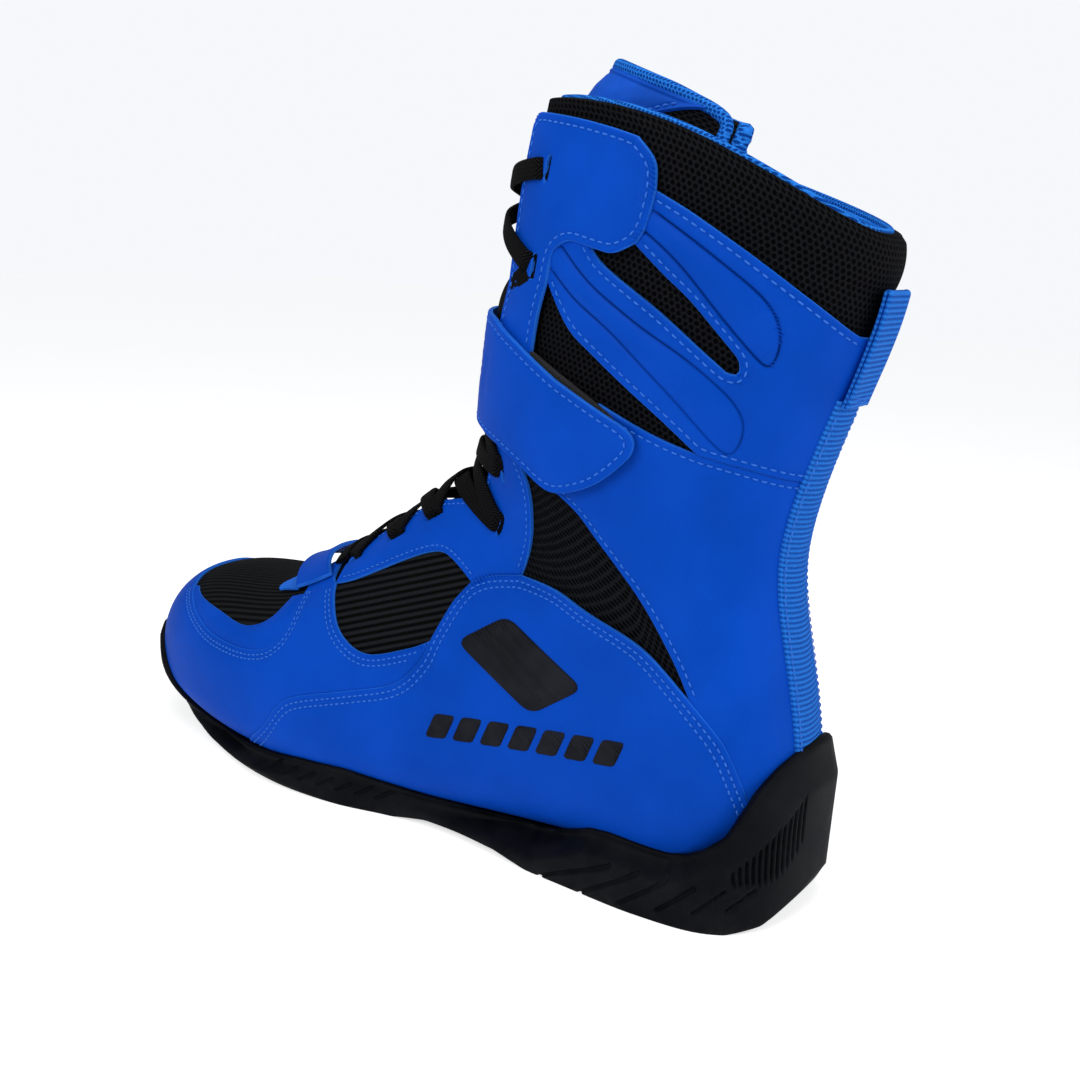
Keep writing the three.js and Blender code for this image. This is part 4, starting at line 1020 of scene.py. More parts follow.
def build_rear_quarter(name, side):
    top, low = side_places([(28, 147.2), (31, 36)], side)
    back_low, back_top = (BACK * side, low[1]), (BACK * side, top[1])
    runs = joined(
        *side_runs(side, ANKLE_FRONT, [(6, 76), (18, 60), (24, 46), (27, 34)]),
        straight(low, back_low), straight(back_low, back_top),
        *side_runs(side, CLAW_BOTTOM[::-1], [(0, 154), (-14, 158.5), (-33, 166)], [(-33, 166), (-54, 152)],
                   [(-54, 152), (-49, 134)]))
    sew(Panel(runs, FIRST_LAYER + 0.2, 1.4, seams=[((0,), 2.2), ((4, 5), 2.2)]), "rear_quarter", name, 2.9)


def rounded(points, reach=11):
    """A closed smooth curve that evens out the points."""
    curve = smooth_run(points + points[:1])[:-1]
    weights = np.hanning(2 * reach + 3)[1:-1]
    padded = np.vstack([curve[-reach:], curve, curve[:reach]])
    even = np.stack([np.convolve(padded[:, k], weights / weights.sum(), "valid") for k in (0, 1)], 1)
    return np.vstack([even, even[:1]])


def pad_relief(pads):
    """The embossed fingers of the shaft panel: each pad swells a little inside its groove."""
    charts = [to_chart(pad) for pad in pads]
    clouds = [surface(pad[:, 0], pad[:, 1]) for pad in pads]

    def relief(turn, along, points):
        flat = np.stack([turn * DEGREE, along], 1)
        height = np.zeros(len(flat))
        for chart, cloud in zip(charts, clouds):
            within = inside(flat, chart)
            height[within] = 0.75 * smoothstep(nearest(points[within], cloud), 0.3, 5.0)
        return height

    return relief


def build_shaft_panel(name, side):
    top, low = side_places([(39.5, 193.5), (28, 147.2)], side)
    back_top, back_low = (BACK * side, top[1]), (BACK * side, low[1])
    runs = joined(
        side_run(CLAW_TOP, side), straight(top, back_top), straight(back_top, back_low),
        *side_runs(side, CLAW_BOTTOM[::-1], CLAW_FRONT, CLAW_UNDER, CLAW_SLIT_LOWER, CLAW_SLIT_END,
                   CLAW_SLIT_UPPER, CLAW_CORNER))
    pads = [side_places(rounded(pad), side) for pad in (UPPER_PAD, LOWER_PAD)]
    seams = [((0,), 2.3), ((3, 4), 2.3), ((6, 7, 8), 2.3)]
    panel = Panel(runs, FIRST_LAYER + 0.5, 1.5, seams, creases=pads, relief=pad_relief(pads))
    sew(panel, "shaft_panel", name, 3.1)


LACE_ROWS = ((24, 152), (24, 186), (25, 226), (42, 296), (42, 338), (57, 452), (56, 502))
SLOT_LENGTH = 8.6
SLOT_WIDTH = 2.2


def lace_slot(around, along, side):
    """The outline of a lace slot, long way up the boot, with round ends."""
    turn = float(turn_of(around, along)) * side
    centre = surface(turn, along)
    per_degree = np.linalg.norm(surface(turn + 1, along) - centre)
    per_along = np.linalg.norm(surface(turn, along + 1) - centre)
    angle = np.linspace(0, math.tau, 25)
    wide = np.sign(np.cos(angle)) * np.abs(np.cos(angle)) ** 0.6 * SLOT_WIDTH / 2 / per_degree
    high = np.sign(np.sin(angle)) * np.abs(np.sin(angle)) ** 0.6 * SLOT_LENGTH / 2 / per_along
    return np.stack([turn + wide, along + high], 1)


def build_lower_eyestay(name, side):
    upper = throat_run(90, 150.5, side)
    rear, front = side_places([(-74, 149), (-149, 79)], side)
    runs = joined(
        *side_runs(side, EYESTAY_BOTTOM, QUARTER_INSTEP, EYESTAY_REAR),
        straight(rear, upper[-1]), upper[::-1], straight(upper[0], front))
    holes = [lace_slot(around, along, side) for around, along in LACE_ROWS[:5]]
    panel = Panel(runs, FIRST_LAYER + 0.3, 1.4, seams=[((0,), 2.2), ((2,), 2.2), ((4,), 2.0)], holes=holes)
    sew(panel, "lower_eyestay", name, 2.5)


def build_upper_eyestay(name, side):
    edge = throat_run(178, 300, side)
    corner = side_places([(-24, 247)], side, 1.5)[0]
    front = np.array([edge[-1][0], rim(edge[-1][0]) - 7.0])
    edge = edge[edge[:, 1] < front[1] - 2]
    top = straight(corner, front)
    top[:, 1] = rim(top[:, 0]) - np.linspace(rim(corner[0]) - corner[1], 7.0, len(top))
    top, edge = resample(top, 1.0)[:-4], resample(edge, 1.0)[:-4]
    share = np.linspace(0, 1, 8)[:, None]
    turned = top[-1] * (1 - share) ** 2 + front * 2 * share * (1 - share) + edge[-1] * share ** 2
    runs = joined(
        *side_runs(side, FLAP_LOWER, FLAP_FINGER, FLAP_GAP, FLAP_CORNER,
                   [(-16.5, 231.5), (-17.5, 240), (-24, 247)]),
        np.vstack([top, turned[1:]]), edge[::-1], straight(edge[0], side_places([(-60, 178)], side)[0]))
    holes = [lace_slot(around, along, side) for around, along in LACE_ROWS[5:]]
    panel = Panel(runs, SECOND_LAYER + 0.4, 1.5, seams=[((0, 1, 2, 3, 4, 5, 6), 2.5)], holes=holes)
    sew(panel, "upper_eyestay", name, 3.0)


def build_side_window(name, side):
    runs = joined(*side_runs(
        side, [(-95.5, 70), (-90, 79), (-87, 87), (-82, 95)],
        [(-82, 95), (-91, 101), (-99, 104), (-108, 103), (-119, 98), (-140, 86), (-151, 80)],
        [(-151, 80), (-148, 73), (-138, 62), (-122, 57), (-105, 63), (-95.5, 70)]))
    window = Panel(runs, 0.0, 0.7, edge=0.4)
    window.build(f"side_window_{name}", SIDE_RIB, "black_rib", [f"side_window_{name}"])


# ---- toe --------------------------------------------------------------------------------------------
TOE_WINDOW = [
    (-238, 62.5), (-232, 59), (-224, 57.5), (-205, 56.5), (-190, 55.5), (-181, 57.5), (-175, 62),
    (-172, 69),
]
TOE_RIM = [(-235, 58), (-222, 53), (-206, 49), (-190, 48), (-177, 49), (-168, 52.5), (-163.5, 60), (-165, 72)]


def mirrored(run):
    """The same run on the other side, walked the other way."""
    return run[::-1] * (-1, 1)


def across(run):
    """The straight run from a run's end over the front line to its mirror image."""
    return straight(run[-1], run[-1] * (-1, 1))


def both_sides(*runs):
    """Lateral runs, the way across the front line, and their mirror images."""
    return [*runs, across(runs[-1]), *[mirrored(run) for run in runs[::-1]]]


def swelling(edge):
    """A relief that rises away from the edge."""
    def relief(turn, along, points):
        return 1.1 * smoothstep(nearest(points, edge), 0.3, 4.0)

    return relief


def build_toe_cap():
    front = side_run([(-241, 61.5), TOE_RIM[0]])
    opening = side_run(TOE_RIM)
    hole = np.vstack(joined(front, opening, across(opening), mirrored(opening), mirrored(front)))
    outline = both_sides(
        sole_run(-256, -182, 1), side_run(QUARTER_FRONT), side_run(WINDOW_FRONT),
        side_run([(-149, 79), (-152.5, 80), (-157, 84)]))
    outline.append(straight(outline[-1][-1], outline[0][0]))
    cap = Panel(joined(*outline), FIRST_LAYER + 0.3, 1.4, holes=[hole],
                seams=[((2,), 2.2), ((2,), 4.2), ((6,), 2.2), ((6,), 4.2)],
                hole_seams=[(opening, 2.0), (opening, 3.6)])
    cap.build("toe_cap", LEATHER, "blue_leather", ["toe_cap", "toe_puff"])
    cap.stitch("toe_cap_stitching", 2.3)


def build_toe_window():
    covered = side_run([
        (-242, 62), (-235, 56.5), (-222, 51.5), (-206, 48), (-190, 47), (-176, 48), (-162, 56), (-161, 76)])
    closing = straight(mirrored(covered)[-1], covered[0])
    ribs = Panel(joined(*both_sides(covered), closing), -0.2, 0.7, edge=0.4)
    ribs.build("toe_window", TOE_RIB, "black_rib", ["toe_window"])


def build_toe_rims():
    """Padded crescents below the window."""
    for name, side in SIDES:
        inner = side_run(TOE_WINDOW[1:], side)
        outer = side_run([(-236, 57.8), (-222, 52.5), (-206, 48.5), (-190, 47.5), (-176.5, 48.4), (-167, 52),
                          (-162.8, 60), (-164, 72)], side)
        runs = joined(outer, straight(outer[-1], inner[-1]), inner[::-1], straight(inner[0], outer[0]))
        crescent = Panel(runs, FIRST_LAYER, 1.0)
        crescent.relief = swelling(crescent.fine_loop)
        crescent.build(f"toe_rim_{name}", LEATHER, "blue_leather", [f"toe_rim_{name}"])


def build_vamp_band():
    """The band that arches over the base of the tongue."""
    reach = turn_of(30, 127)
    turns = np.linspace(reach, -reach, 40)
    forward = 12 * np.cos(turns / reach * math.pi / 2)
    front, rear = (np.stack([turns, level - forward], 1) for level in (114, 140))
    sides = joined(straight(front[0], rear[0]), rear, straight(rear[-1], front[-1]), front[::-1])

    def lift(turn, along):
        return 2.4 + 3.4 * np.cos(np.clip(np.abs(turn) / reach, 0, 1) * math.pi / 2)

    Panel(sides, lift, 1.7).build("vamp_band", LEATHER, "blue_leather", ["vamp_band"])


def build_vamp_tab():
    tip, root = turn_of(25, 96), turn_of(30, 113)
    tab = smooth_run([
        (root, 114), (turn_of(28, 104), 103), (tip + 3, 98.5), (tip, 97), (tip - 3, 98.5),
        (turn_of(17, 104), 104), (turn_of(16, 113), 114)])
    flap = Panel([tab, straight(tab[-1], tab[0])], SECOND_LAYER, 1.1)
    # painted light: the tab gets the lighter copy of the blue leather
    flap.build("vamp_tab", LIT_TAB_LEATHER, "blue_leather", ["vamp_tab"])


# ---- tongue ------------------------------------------------------------------------------------------
TONGUE_HINGE = 512
TONGUE_TOP = 559


def tongue_edges(level):
    widen = smoothstep(level, 148, 472)
    return -34 - 26 * widen, 34 + 65 * widen


def tongue_place(share, level):
    """Place and depth of the tongue's middle: share runs 0 to 1 from the medial to the lateral edge."""
    medial, lateral = tongue_edges(level)
    around = medial + (lateral - medial) * share
    above = np.clip((level - TONGUE_HINGE) / (TONGUE_TOP - TONGUE_HINGE), 0, 1)
    slope = np.where(around > 0, 8 * around / 88, -10 * around / -60)
    along = level + slope * above
    depth = -6.0 - 3 * smoothstep(level, 440, 530) - 12 * above
    depth = depth + 2.6 * smoothstep(1 - np.abs(around) / 14)
    return turn_of(around, np.minimum(along, 560)), along, depth


def facing_edge(level):
    """Share at which the padded facing ends: its rear edge slants."""
    return 0.85 + 0.125 * np.clip((level - 540) / (TONGUE_TOP - 540), 0, 1)


def tongue_sheet(levels, shares, outer, inner, end=lambda level: 1.0):
    """Closed body between two depths below the tongue's face; the faces close with round edges."""
    level, share = np.meshgrid(levels, shares, indexing="ij")
    share = share * end(level)
    turn, along, depth = tongue_place(share, level)
    edge = np.minimum(share - shares[0], shares[-1] * end(level) - share) * 110
    edge = np.minimum(edge, levels[-1] - level)
    middle = (outer + inner) / 2
    half = (outer - inner) / 2 * (0.15 + 0.85 * rounded_rise(edge, 2.2))
    top = offset(turn, along, depth + middle + half)
    low = offset(turn, along, depth + middle - half)
    return closed_sheet(top, low), np.stack([turn * DEGREE, along], -1).reshape(-1, 2)


def blend_across(piece):
    """Bakes the piece's placement into its points."""
    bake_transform(piece)


def blend_tongue(piece, nodes=()):
    blend_across(piece)
    return finish_piece(piece, None, nodes)


CLOTH_FRAMES = 16


def apply_modifiers(pad):
    graph = bpy.context.evaluated_depsgraph_get()
    mesh = bpy.data.meshes.new_from_object(pad.evaluated_get(graph), depsgraph=graph)
    pad.modifiers.clear()
    pad.data = mesh
    return mesh


def vertex_places(mesh):
    places = np.zeros(len(mesh.vertices) * 3, np.float32)
    mesh.vertices.foreach_get("co", places)
    return places.reshape(-1, 3)


def inflate(name, points, faces, material, voxel, pressure, cap):
    """Swells a closed pad with the cloth solver: remeshed, blown up a little, then smoothed."""
    pad = make_mesh(name, points, faces, material)
    remesh = pad.modifiers.new("remesh", "REMESH")
    remesh.mode = "VOXEL"
    remesh.voxel_size = voxel * UNIT
    mesh = apply_modifiers(pad)
    start = vertex_places(mesh)
    cloth = pad.modifiers.new("cloth", "CLOTH")
    cloth.settings.use_pressure = True
    cloth.settings.uniform_pressure_force = pressure
    cloth.settings.effector_weights.gravity = 0
    cloth.settings.tension_stiffness = 20
    cloth.settings.compression_stiffness = 20
    cloth.settings.bending_stiffness = 0.6
    cloth.point_cache.frame_start = 1
    cloth.point_cache.frame_end = CLOTH_FRAMES
    for step in range(1, CLOTH_FRAMES + 1):
        bpy.context.scene.frame_set(step)
    graph = bpy.context.evaluated_depsgraph_get()
    move = vertex_places(pad.evaluated_get(graph).to_mesh()) - start
    pad.modifiers.clear()
    bpy.context.scene.frame_set(1)
    length = np.linalg.norm(move, axis=1, keepdims=True)
    move *= np.minimum(1, cap * UNIT / np.maximum(length, 1e-9))
    mesh.vertices.foreach_set("co", (start + move).ravel())
    smooth = pad.modifiers.new("smooth", "SUBSURF")
    smooth.levels = smooth.render_levels = 1
    relax = pad.modifiers.new("relax", "SMOOTH")
    relax.iterations = 4
    mesh = apply_modifiers(pad)
    mesh.materials.clear()
    mesh.materials.append(material)
    mesh.shade_smooth()
    return pad


def build_tongue_body():
    levels = np.concatenate([np.linspace(118, 500, 100), np.linspace(502, TONGUE_TOP - 4, 34)])
    shares = np.concatenate([[0, 0.004, 0.012], np.linspace(0.02, 0.98, 44), [0.988, 0.996, 1]])
    (points, faces), places = tongue_sheet(levels, shares, 0.0, -3.0)
    body = make_mesh("tongue_body", points, faces, MESH, np.vstack([places, places]))
    blend_tongue(body, ["tongue_body"])


def build_tongue_facing():
    """The padding on the middle and most of the lateral wing, which stops at a slanted edge."""
    levels = np.concatenate([
        np.linspace(498, TONGUE_TOP - 8, 30), np.linspace(TONGUE_TOP - 7, TONGUE_TOP - 2.6, 14)])
    shares = np.concatenate([
        np.linspace(0.14, 0.16, 5), np.linspace(0.17, 0.96, 90), np.linspace(0.965, 1, 14)])
    level, share = np.meshgrid(levels, shares, indexing="ij")
    from_side = np.minimum(share - shares[0], 1 - share) * 100
    from_top = levels[-1] - level
    from_edge = np.minimum(from_side, from_top)
    seam = 0.5 * np.exp(-((from_edge - 2.6) / 0.8) ** 2)
    puff = 0.9 * smoothstep(from_edge, 0, 0.9) + 1.3 * smoothstep(from_edge, 2.4, 11) - seam
    turn, along, depth = tongue_place(share * facing_edge(level), level)
    outer = offset(turn, along, depth + 0.5 + puff)
    inner = offset(turn, along, depth - 0.3)
    points, faces = closed_sheet(outer, inner)
    facing = make_mesh("tongue_top", points, faces, SOFT_LEATHER)
    blend_tongue(facing, ["tongue_top"])


def build_tongue_lining():
    """The lining behind the facing, which swells past its edge."""
    levels = np.linspace(470, TONGUE_TOP - 3, 30)
    shares = np.linspace(0.03, 1.035, 46)
    (points, faces), _ = tongue_sheet(levels, shares, -3.2, -9.2)
    pad = inflate("tongue_lining", points, faces, LINING_KNIT, 1.7, 5.0, 1.2)
    blend_tongue(pad)


def build_tongue_binding():
    """Rolled binding along the top and down the lateral edge."""
    top = [tongue_place(share, TONGUE_TOP - 1.0 - 3 * smoothstep(share, 0.9, 0.98))
           for share in np.linspace(0.1, 0.98, 80)]
    down = [tongue_place(0.985, level) for level in np.linspace(TONGUE_TOP - 5, 498, 36)]
    turns, alongs, depths = (
        np.convolve(np.pad(column, 3, "edge"), np.ones(7) / 7, "valid")
        for column in np.array(top + down, float).T)
    centres = offset(turns, alongs, depths - 0.6)
    points, faces, places = tube(centres, outward(turns, alongs), 4.2, 3.8, corner=0.9)
    blend_tongue(make_mesh("tongue_binding", points, faces, LINING_KNIT, places))


def build_tongue_seam():
    seam_levels = np.linspace(505, TONGUE_TOP - 6, 30)
    seam = np.array([tongue_place(facing_edge(level) * 0.974, level) for level in seam_levels], float)
    parts = stitches(seam[:, :2], lambda spots: np.interp(spots[:, 1], seam[:, 1], seam[:, 2]) + 1.3, 2.8)
    blend_tongue(thread_piece("tongue_stitching", parts, None))


# ---- lace --------------------------------------------------------------------------------------------
LACE_WIDTH = 7.0
LACE_THICKNESS = 1.5


def strand(start, end, side, over):
    """A lace strand that leaves one slot, crosses the gap and dives into the next slot up."""
    share = 0.5 - 0.5 * np.cos(np.linspace(0, math.pi, 84))
    along = start[1] + (end[1] - start[1]) * share
    around = side * (start[0] - (start[0] + end[0]) * share)
    ends = np.minimum(share, 1 - share)
    rise = smoothstep(ends, 0.0, 0.035)
    rest = 4.5 if along[0] > 400 else 3.0
    crossing = (0.95 if over else -0.75) * np.exp(-(around / 11) ** 2)
    sag = -1.2 * np.sin(share * math.pi) if end[1] - start[1] > 60 else 0
    sink = 5.0 * smoothstep(1.35 - np.abs(around) / 20) if end[1] > 400 else 0
    depth = -1.5 + (rest + 1.5) * rise + crossing + sag - sink
    return lace_tube(around, along, depth)


def lace_tube(around, along, depth):
    turn = turn_of(around, along)
    return tube(offset(turn, along, depth), outward(turn, along), LACE_WIDTH, LACE_THICKNESS)


def build_lace():
    share = 0.5 - 0.5 * np.cos(np.linspace(0, math.pi, 60))
    depth = -1.5 + 4.4 * smoothstep(np.minimum(share, 1 - share), 0, 0.1)
    parts = [lace_tube(-24 + 48 * share, LACE_ROWS[0][1], depth)]
    around = np.linspace(-21, 21, 30)
    parts.append(lace_tube(around, 141, 2.6 + 1.6 * np.cos(around / 21 * math.pi / 2)))
    for i, (start, end) in enumerate(zip(LACE_ROWS, LACE_ROWS[1:])):
        for side in (1, -1):
            parts.append(strand(start, end, side, over=(side > 0) == (i % 2 == 0)))
    points, faces, places = merge(parts)
    finish_piece(make_mesh("lace", points, faces, LACE_CLOTH, places), "boot", ["lace"])


# ---- strap -------------------------------------------------------------------------------------------
STRAP_TOP = np.array([(-140, 200), (-100, 192), (-79, 188), (-67, 182), (-48, 172), (-30, 164), (-22, 160.5)])
STRAP_TIP = [(-22, 160.5), (-18.5, 157.5), (-18, 154), (-20.5, 149.5), (-30, 141), (-41, 136), (-50, 135)]
STRAP_LOW = np.array([(-140, 158), (-90, 150), (-71, 144.5), (-60, 139.5), (-50, 135)])
MEDIAL_TOP = np.array([(-140, 200), (-60, 183), (-20, 177)])
MEDIAL_LOW = np.array([(-140, 158), (-60, 148), (-20, 150)])
STRAP_HINGE, STRAP_SEWN_END = -64, -86
STRAP_DEPTH = 4.4


def strap_edge(around_values, lateral_line, medial_line):
    """Places along the strap where its outer face meets a side-view line."""
    places = []
    for around in around_values:
        line = lateral_line if around > 0 else medial_line
        along = np.linspace(320, 470, 301)
        turn = turn_of(around, along)
        points = offset(turn, along, STRAP_DEPTH)
        spare = points[:, 2] - height_on(line, points[:, 1])
        i = int(np.nonzero(spare >= 0)[0][0])
        places.append((turn[i], along[i]))
    places = np.array(places)
    middle = np.abs(around_values) < 14
    places[middle, 1] = np.interp(around_values[middle], around_values[~middle], places[~middle, 1])
    return places


def embossed_bars(turn, along, points):
    """Three slanted bars pressed into the strap where it faces forward."""
    height = np.zeros(len(turn))
    for i in range(3):
        middle = 16 + 11 * i
        lean = (along - 395) * 0.16
        away = np.abs(turn - middle - lean)
        within = smoothstep(12 - np.abs(along - (396 - 2.5 * i)), 0, 1.5)
        height -= 0.5 * within * smoothstep(2.6 - away, 0, 1.2)
    return height


def build_strap():
    around = np.linspace(STRAP_HINGE + 6, 76, 60)
    top = strap_edge(around, STRAP_TOP, MEDIAL_TOP)
    low = strap_edge(around[around < 66], STRAP_LOW, MEDIAL_LOW)
    tip = side_run([*STRAP_TOP[-3:-1], *STRAP_TIP, (-60, 139.5)], 1, 5.5)
    upper = np.vstack([top[:-8], tip[:1]])
    lower = np.vstack([low[:-3], tip[-1:]])
    runs = joined(upper, tip, lower[::-1], straight(lower[0], upper[0]))
    panel = Panel(runs, STRAP_DEPTH, 1.7, seams=[((0, 1, 2), 2.4)], relief=embossed_bars, edge=0.9)
    strap = panel.build("strap", LEATHER, "blue_leather", ["strap_body", "strap_tip"], body=None)
    thread = panel.stitch("strap_stitching", 2.9, body=None)
    for piece in (strap, thread):
        blend_across(piece)


def build_strap_anchor():
    """The sewn end of the strap, which rises over the strap's own end."""
    around = np.linspace(STRAP_SEWN_END, STRAP_HINGE + 12, 14)
    top = strap_edge(around, STRAP_TOP, MEDIAL_TOP) + (0, 0.8)
    low = strap_edge(around, STRAP_LOW, MEDIAL_LOW) - (0, 0.8)
    runs = joined(top, straight(top[-1], low[-1]), low[::-1], straight(low[0], top[0]))

    def depth(turn, along):
        return STRAP_DEPTH - 2.6 + 4.4 * smoothstep(turn, -84, -72)

    panel = Panel(runs, depth, 1.5, seams=[((0, 1, 2, 3), 2.2)], edge=0.8)
    anchor = panel.build("strap_anchor", LEATHER, "blue_leather", ["strap_anchor"], body=None)
    thread = panel.stitch("strap_anchor_stitching", 2.7, body=None)
    for piece in (anchor, thread):
        blend_across(piece)


def build_strap_patches():
    """Hooks below the strap's tip and loops on the boot."""
    for name, inset, depth, thickness, body in (
            ("hook_patch", (0, -2.6), -1.2, 1.2, "strap_end"), ("loop_patch", (0, 0), -2.6, 1.3, "boot")):
        rim_points = [(-62, 180), (-48, 173.5), (-36, 167.5), (-27, 162), (-24, 157), (-25, 151), (-34, 144),
                      (-44, 140), (-62, 145)]
        path = side_places(smooth_run(rim_points) + inset, 1, 4)
        Panel([path, straight(path[-1], path[0])], STRAP_DEPTH + depth, thickness, edge=0.3).build(
            name, HOOK_TAPE, "hook_tape", [name], body=body)


# ---- heel strip, pull loop, collar ---------------------------------------------------------------------
WEBBING_WIDTH = 20
HEEL_STRIP_DEPTH = 1.7


def webbing_relief(width, run, rib_height):
    """Height of the ribs across a webbing, and the rounding of its two edges."""
    selvage = smoothstep(7.8 - np.abs(width), 0, 1.0)
    rib = rib_height * np.sin(run[:, None] * math.tau / WEBBING_RIB) * selvage
    return rib, np.sqrt(1 - np.clip((np.abs(width) - 9.2) / 0.8, 0, 1) ** 2)


def webbing_piece(name, body, outer, inner, width, run):
    places = np.stack([width, np.broadcast_to(run[:, None], width.shape)], -1).reshape(-1, 2)
    piece = sheet_piece(name, outer, inner, WEBBING, places, sharp=60)
    finish_piece(piece, body, [name])


def build_heel_strip():
    """Webbing laid on the back line, its ribs modelled across the width."""
    rows = np.linspace(308, 436, 420)
    level, width = np.meshgrid(rows, WEBBING_WIDTH / 2 * np.linspace(-1, 1, 33), indexing="ij")
    turn = BACK + np.degrees(np.arcsin(np.clip(width / half_lateral(level), -1, 1)))
    run = run_length(surface(BACK, rows))
    rib, edge = webbing_relief(width, run, 0.16)
    outer = offset(turn, level, HEEL_STRIP_DEPTH + 0.25 + (1.15 + rib) * edge)
    inner = offset(turn, level, HEEL_STRIP_DEPTH)
    webbing_piece("heel_strip", "boot", outer, inner, width, run)
    seams = []
    for share in (-8.6, 8.6):
        along = np.linspace(312, 430, 60)
        turn = BACK + np.degrees(np.arcsin(share / half_lateral(along)))
        seams += stitches(np.stack([turn, along], 1), lambda places: np.full(len(places), 3.15), 2.4)
    thread_piece("heel_strip_stitching", seams, "boot")


def build_pull_loop():
    start, end = 434, 492
    low, high = 2.0, 3.4
    rows = np.linspace(start, end, 60)
    centres = [offset(BACK, along, low) for along in rows]
    normals = [outward(BACK, along) for along in rows]
    out = outward(BACK, end)
    up = np.cross(out, (-1.0, 0, 0))
    if up[2] < 0:
        up = -up
    middle = offset(BACK, end, (low + high) / 2)
    for angle in np.radians(np.linspace(8, 172, 14)):
        arm = -math.cos(angle) * out + math.sin(angle) * up
        centres.append(middle + arm * (high - low) / 2)
        normals.append(-arm)
    for along in np.linspace(end, start, 60):
        centres.append(offset(BACK, along, high - 0.2 * smoothstep(end - 20 - along, 0, 38)))
        normals.append(-outward(BACK, along))
    centres, normals = np.array(centres), np.array(normals)
    run = run_length(centres)
    even = np.arange(0, run[-1], 0.42)
    centres, normals = read_path(even, run, centres), unit(read_path(even, run, normals))
    width = np.broadcast_to(WEBBING_WIDTH / 2 * np.linspace(-1, 1, 25), (len(even), 25))
    rib, edge = webbing_relief(width, even, 0.14)
    forward = unit(np.gradient(centres, axis=0))
    side = unit(np.cross(forward, normals))
    half = ((0.55 + rib) * edge + 0.1)[..., None]
    outer = centres[:, None] + side[:, None] * width[..., None] + normals[:, None] * half
    inner = centres[:, None] + side[:, None] * width[..., None] - normals[:, None] * half
    webbing_piece("pull_loop", "pull_tab", outer, inner, width, even)
    tacks = []
    for along in (start + 2.5, start + 4.2):
        reach = np.degrees(np.arcsin(8.5 / half_lateral(along)))
        path = np.stack([np.linspace(BACK - reach, BACK + reach, 30), np.full(30, along)], 1)
        tacks += stitches(path, lambda places: np.full(len(places), 4.05), 1.7)
    thread_piece("pull_loop_stitching", tacks, "pull_tab")


THROAT_END = 540  # above this slice the lacing gap keeps its width
LINING_TOP = 492


def collar_swell(turn, along):
    """The padding pushes the mesh out above the shaft panel, behind the eyestay flap."""
    share = np.clip((along - rim(turn) + 40) / 42, 0, 1)
    away = np.minimum(turn, 360 - turn)
    swell = 1.5 * np.sin(share * math.pi) ** 0.8 - 1.3 * smoothstep(share, 0.82, 1.0)
    return swell * smoothstep(away, 62, 100)


def turns_round(along, gap, count):
    """Turns from one edge of the lacing gap round the heel to the other, a few degrees inside."""
    edge = throat_turn(min(along, THROAT_END)) + gap
    return edge + (360 - 2 * edge) * np.linspace(0, 1, count)


def build_mesh_upper():
    """The mesh bootie from the vamp up, rolled over the padded collar."""
    count = 190
    outer_rows, places_rows = [], []
    for along in np.concatenate([np.linspace(60, 500, 230), np.linspace(502, COLLAR, 22)]):
        turn = turns_round(along, 0.8, count)
        share = smoothstep(along, 440, COLLAR)
        level = along + (rim(turn) - COLLAR) * share
        outer_rows.append(offset(turn, level, -0.05 + collar_swell(turn, level)))
        places_rows.append(np.stack([turn * DEGREE, level], 1))
    turn = turns_round(THROAT_END, 0.8, count)
    for angle in np.linspace(12, 90, 8):
        rise, sink = 2.4 * math.sin(math.radians(angle)), 3.2 * (1 - math.cos(math.radians(angle)))
        outer_rows.append(offset(turn, rim(turn) + rise, collar_swell(turn, rim(turn)) - sink))
        places_rows.append(np.stack([turn * DEGREE, rim(turn) + rise + sink], 1))
    outer = np.array(outer_rows)
    across = np.cumsum(np.linalg.norm(np.diff(outer, axis=1, prepend=outer[:, :1]), axis=-1), axis=1)
    across -= across[:, count // 2:count // 2 + 1]
    up = np.cumsum(np.linalg.norm(np.diff(outer[::-1], axis=0, prepend=outer[-1:]), axis=-1), axis=0)[::-1]
    places = np.stack([across, up], -1).reshape(-1, 2)
    inner = np.array([
        offset(row[:, 0] / DEGREE, np.minimum(row[:, 1], rim(row[:, 0] / DEGREE)), -3.4)
        for row in places_rows])
    piece = sheet_piece("mesh_upper", outer, inner, MESH, places)
    finish_piece(piece, "boot", ["mesh_upper", "heel_counter"])


def build_ankle_mesh():
    """The longer-holed mesh in the gap behind the eyestay."""
    for name, side in SIDES:
        patch = side_run([
            (-66, 99), (-63, 114), (-63, 124), (-66, 134), (-78, 146), (-60, 160), (-46, 136), (-36, 129),
            (-10, 106), (3, 88), (10, 74), (-12, 86), (-34, 92), (-50, 96), (-66, 97)], side, 0)
        Panel([patch, straight(patch[-1], patch[0])], -0.1, 0.35, edge=0.2).build(
            f"ankle_mesh_{name}", ANKLE_MESH, "black_mesh")


def build_collar_padding():
    """Padded lining, swollen by the cloth solver, from the lip down to its seam."""
    turn = turns_round(THROAT_END, 2, 130)
    levels = np.linspace(-52, 2.2, 26)
    outer = np.array([offset(turn, rim(turn) + level, -3.6) for level in levels])
    round_top = np.sqrt(1 - np.clip((levels + 4) / 6.4, 0, 1) ** 2)
    deep = [-3.9 - 4.6 * top * smoothstep(level, -53, -40) for level, top in zip(levels, round_top)]
    inner = np.array([offset(turn, rim(turn) + level, depth) for level, depth in zip(levels, deep)])
    points, faces = closed_sheet(outer, inner)
    pad = inflate("collar_padding", points, faces, LINING_KNIT, 2.0, 6.0, 1.3)
    finish_piece(pad, "boot", ["collar_foam"])


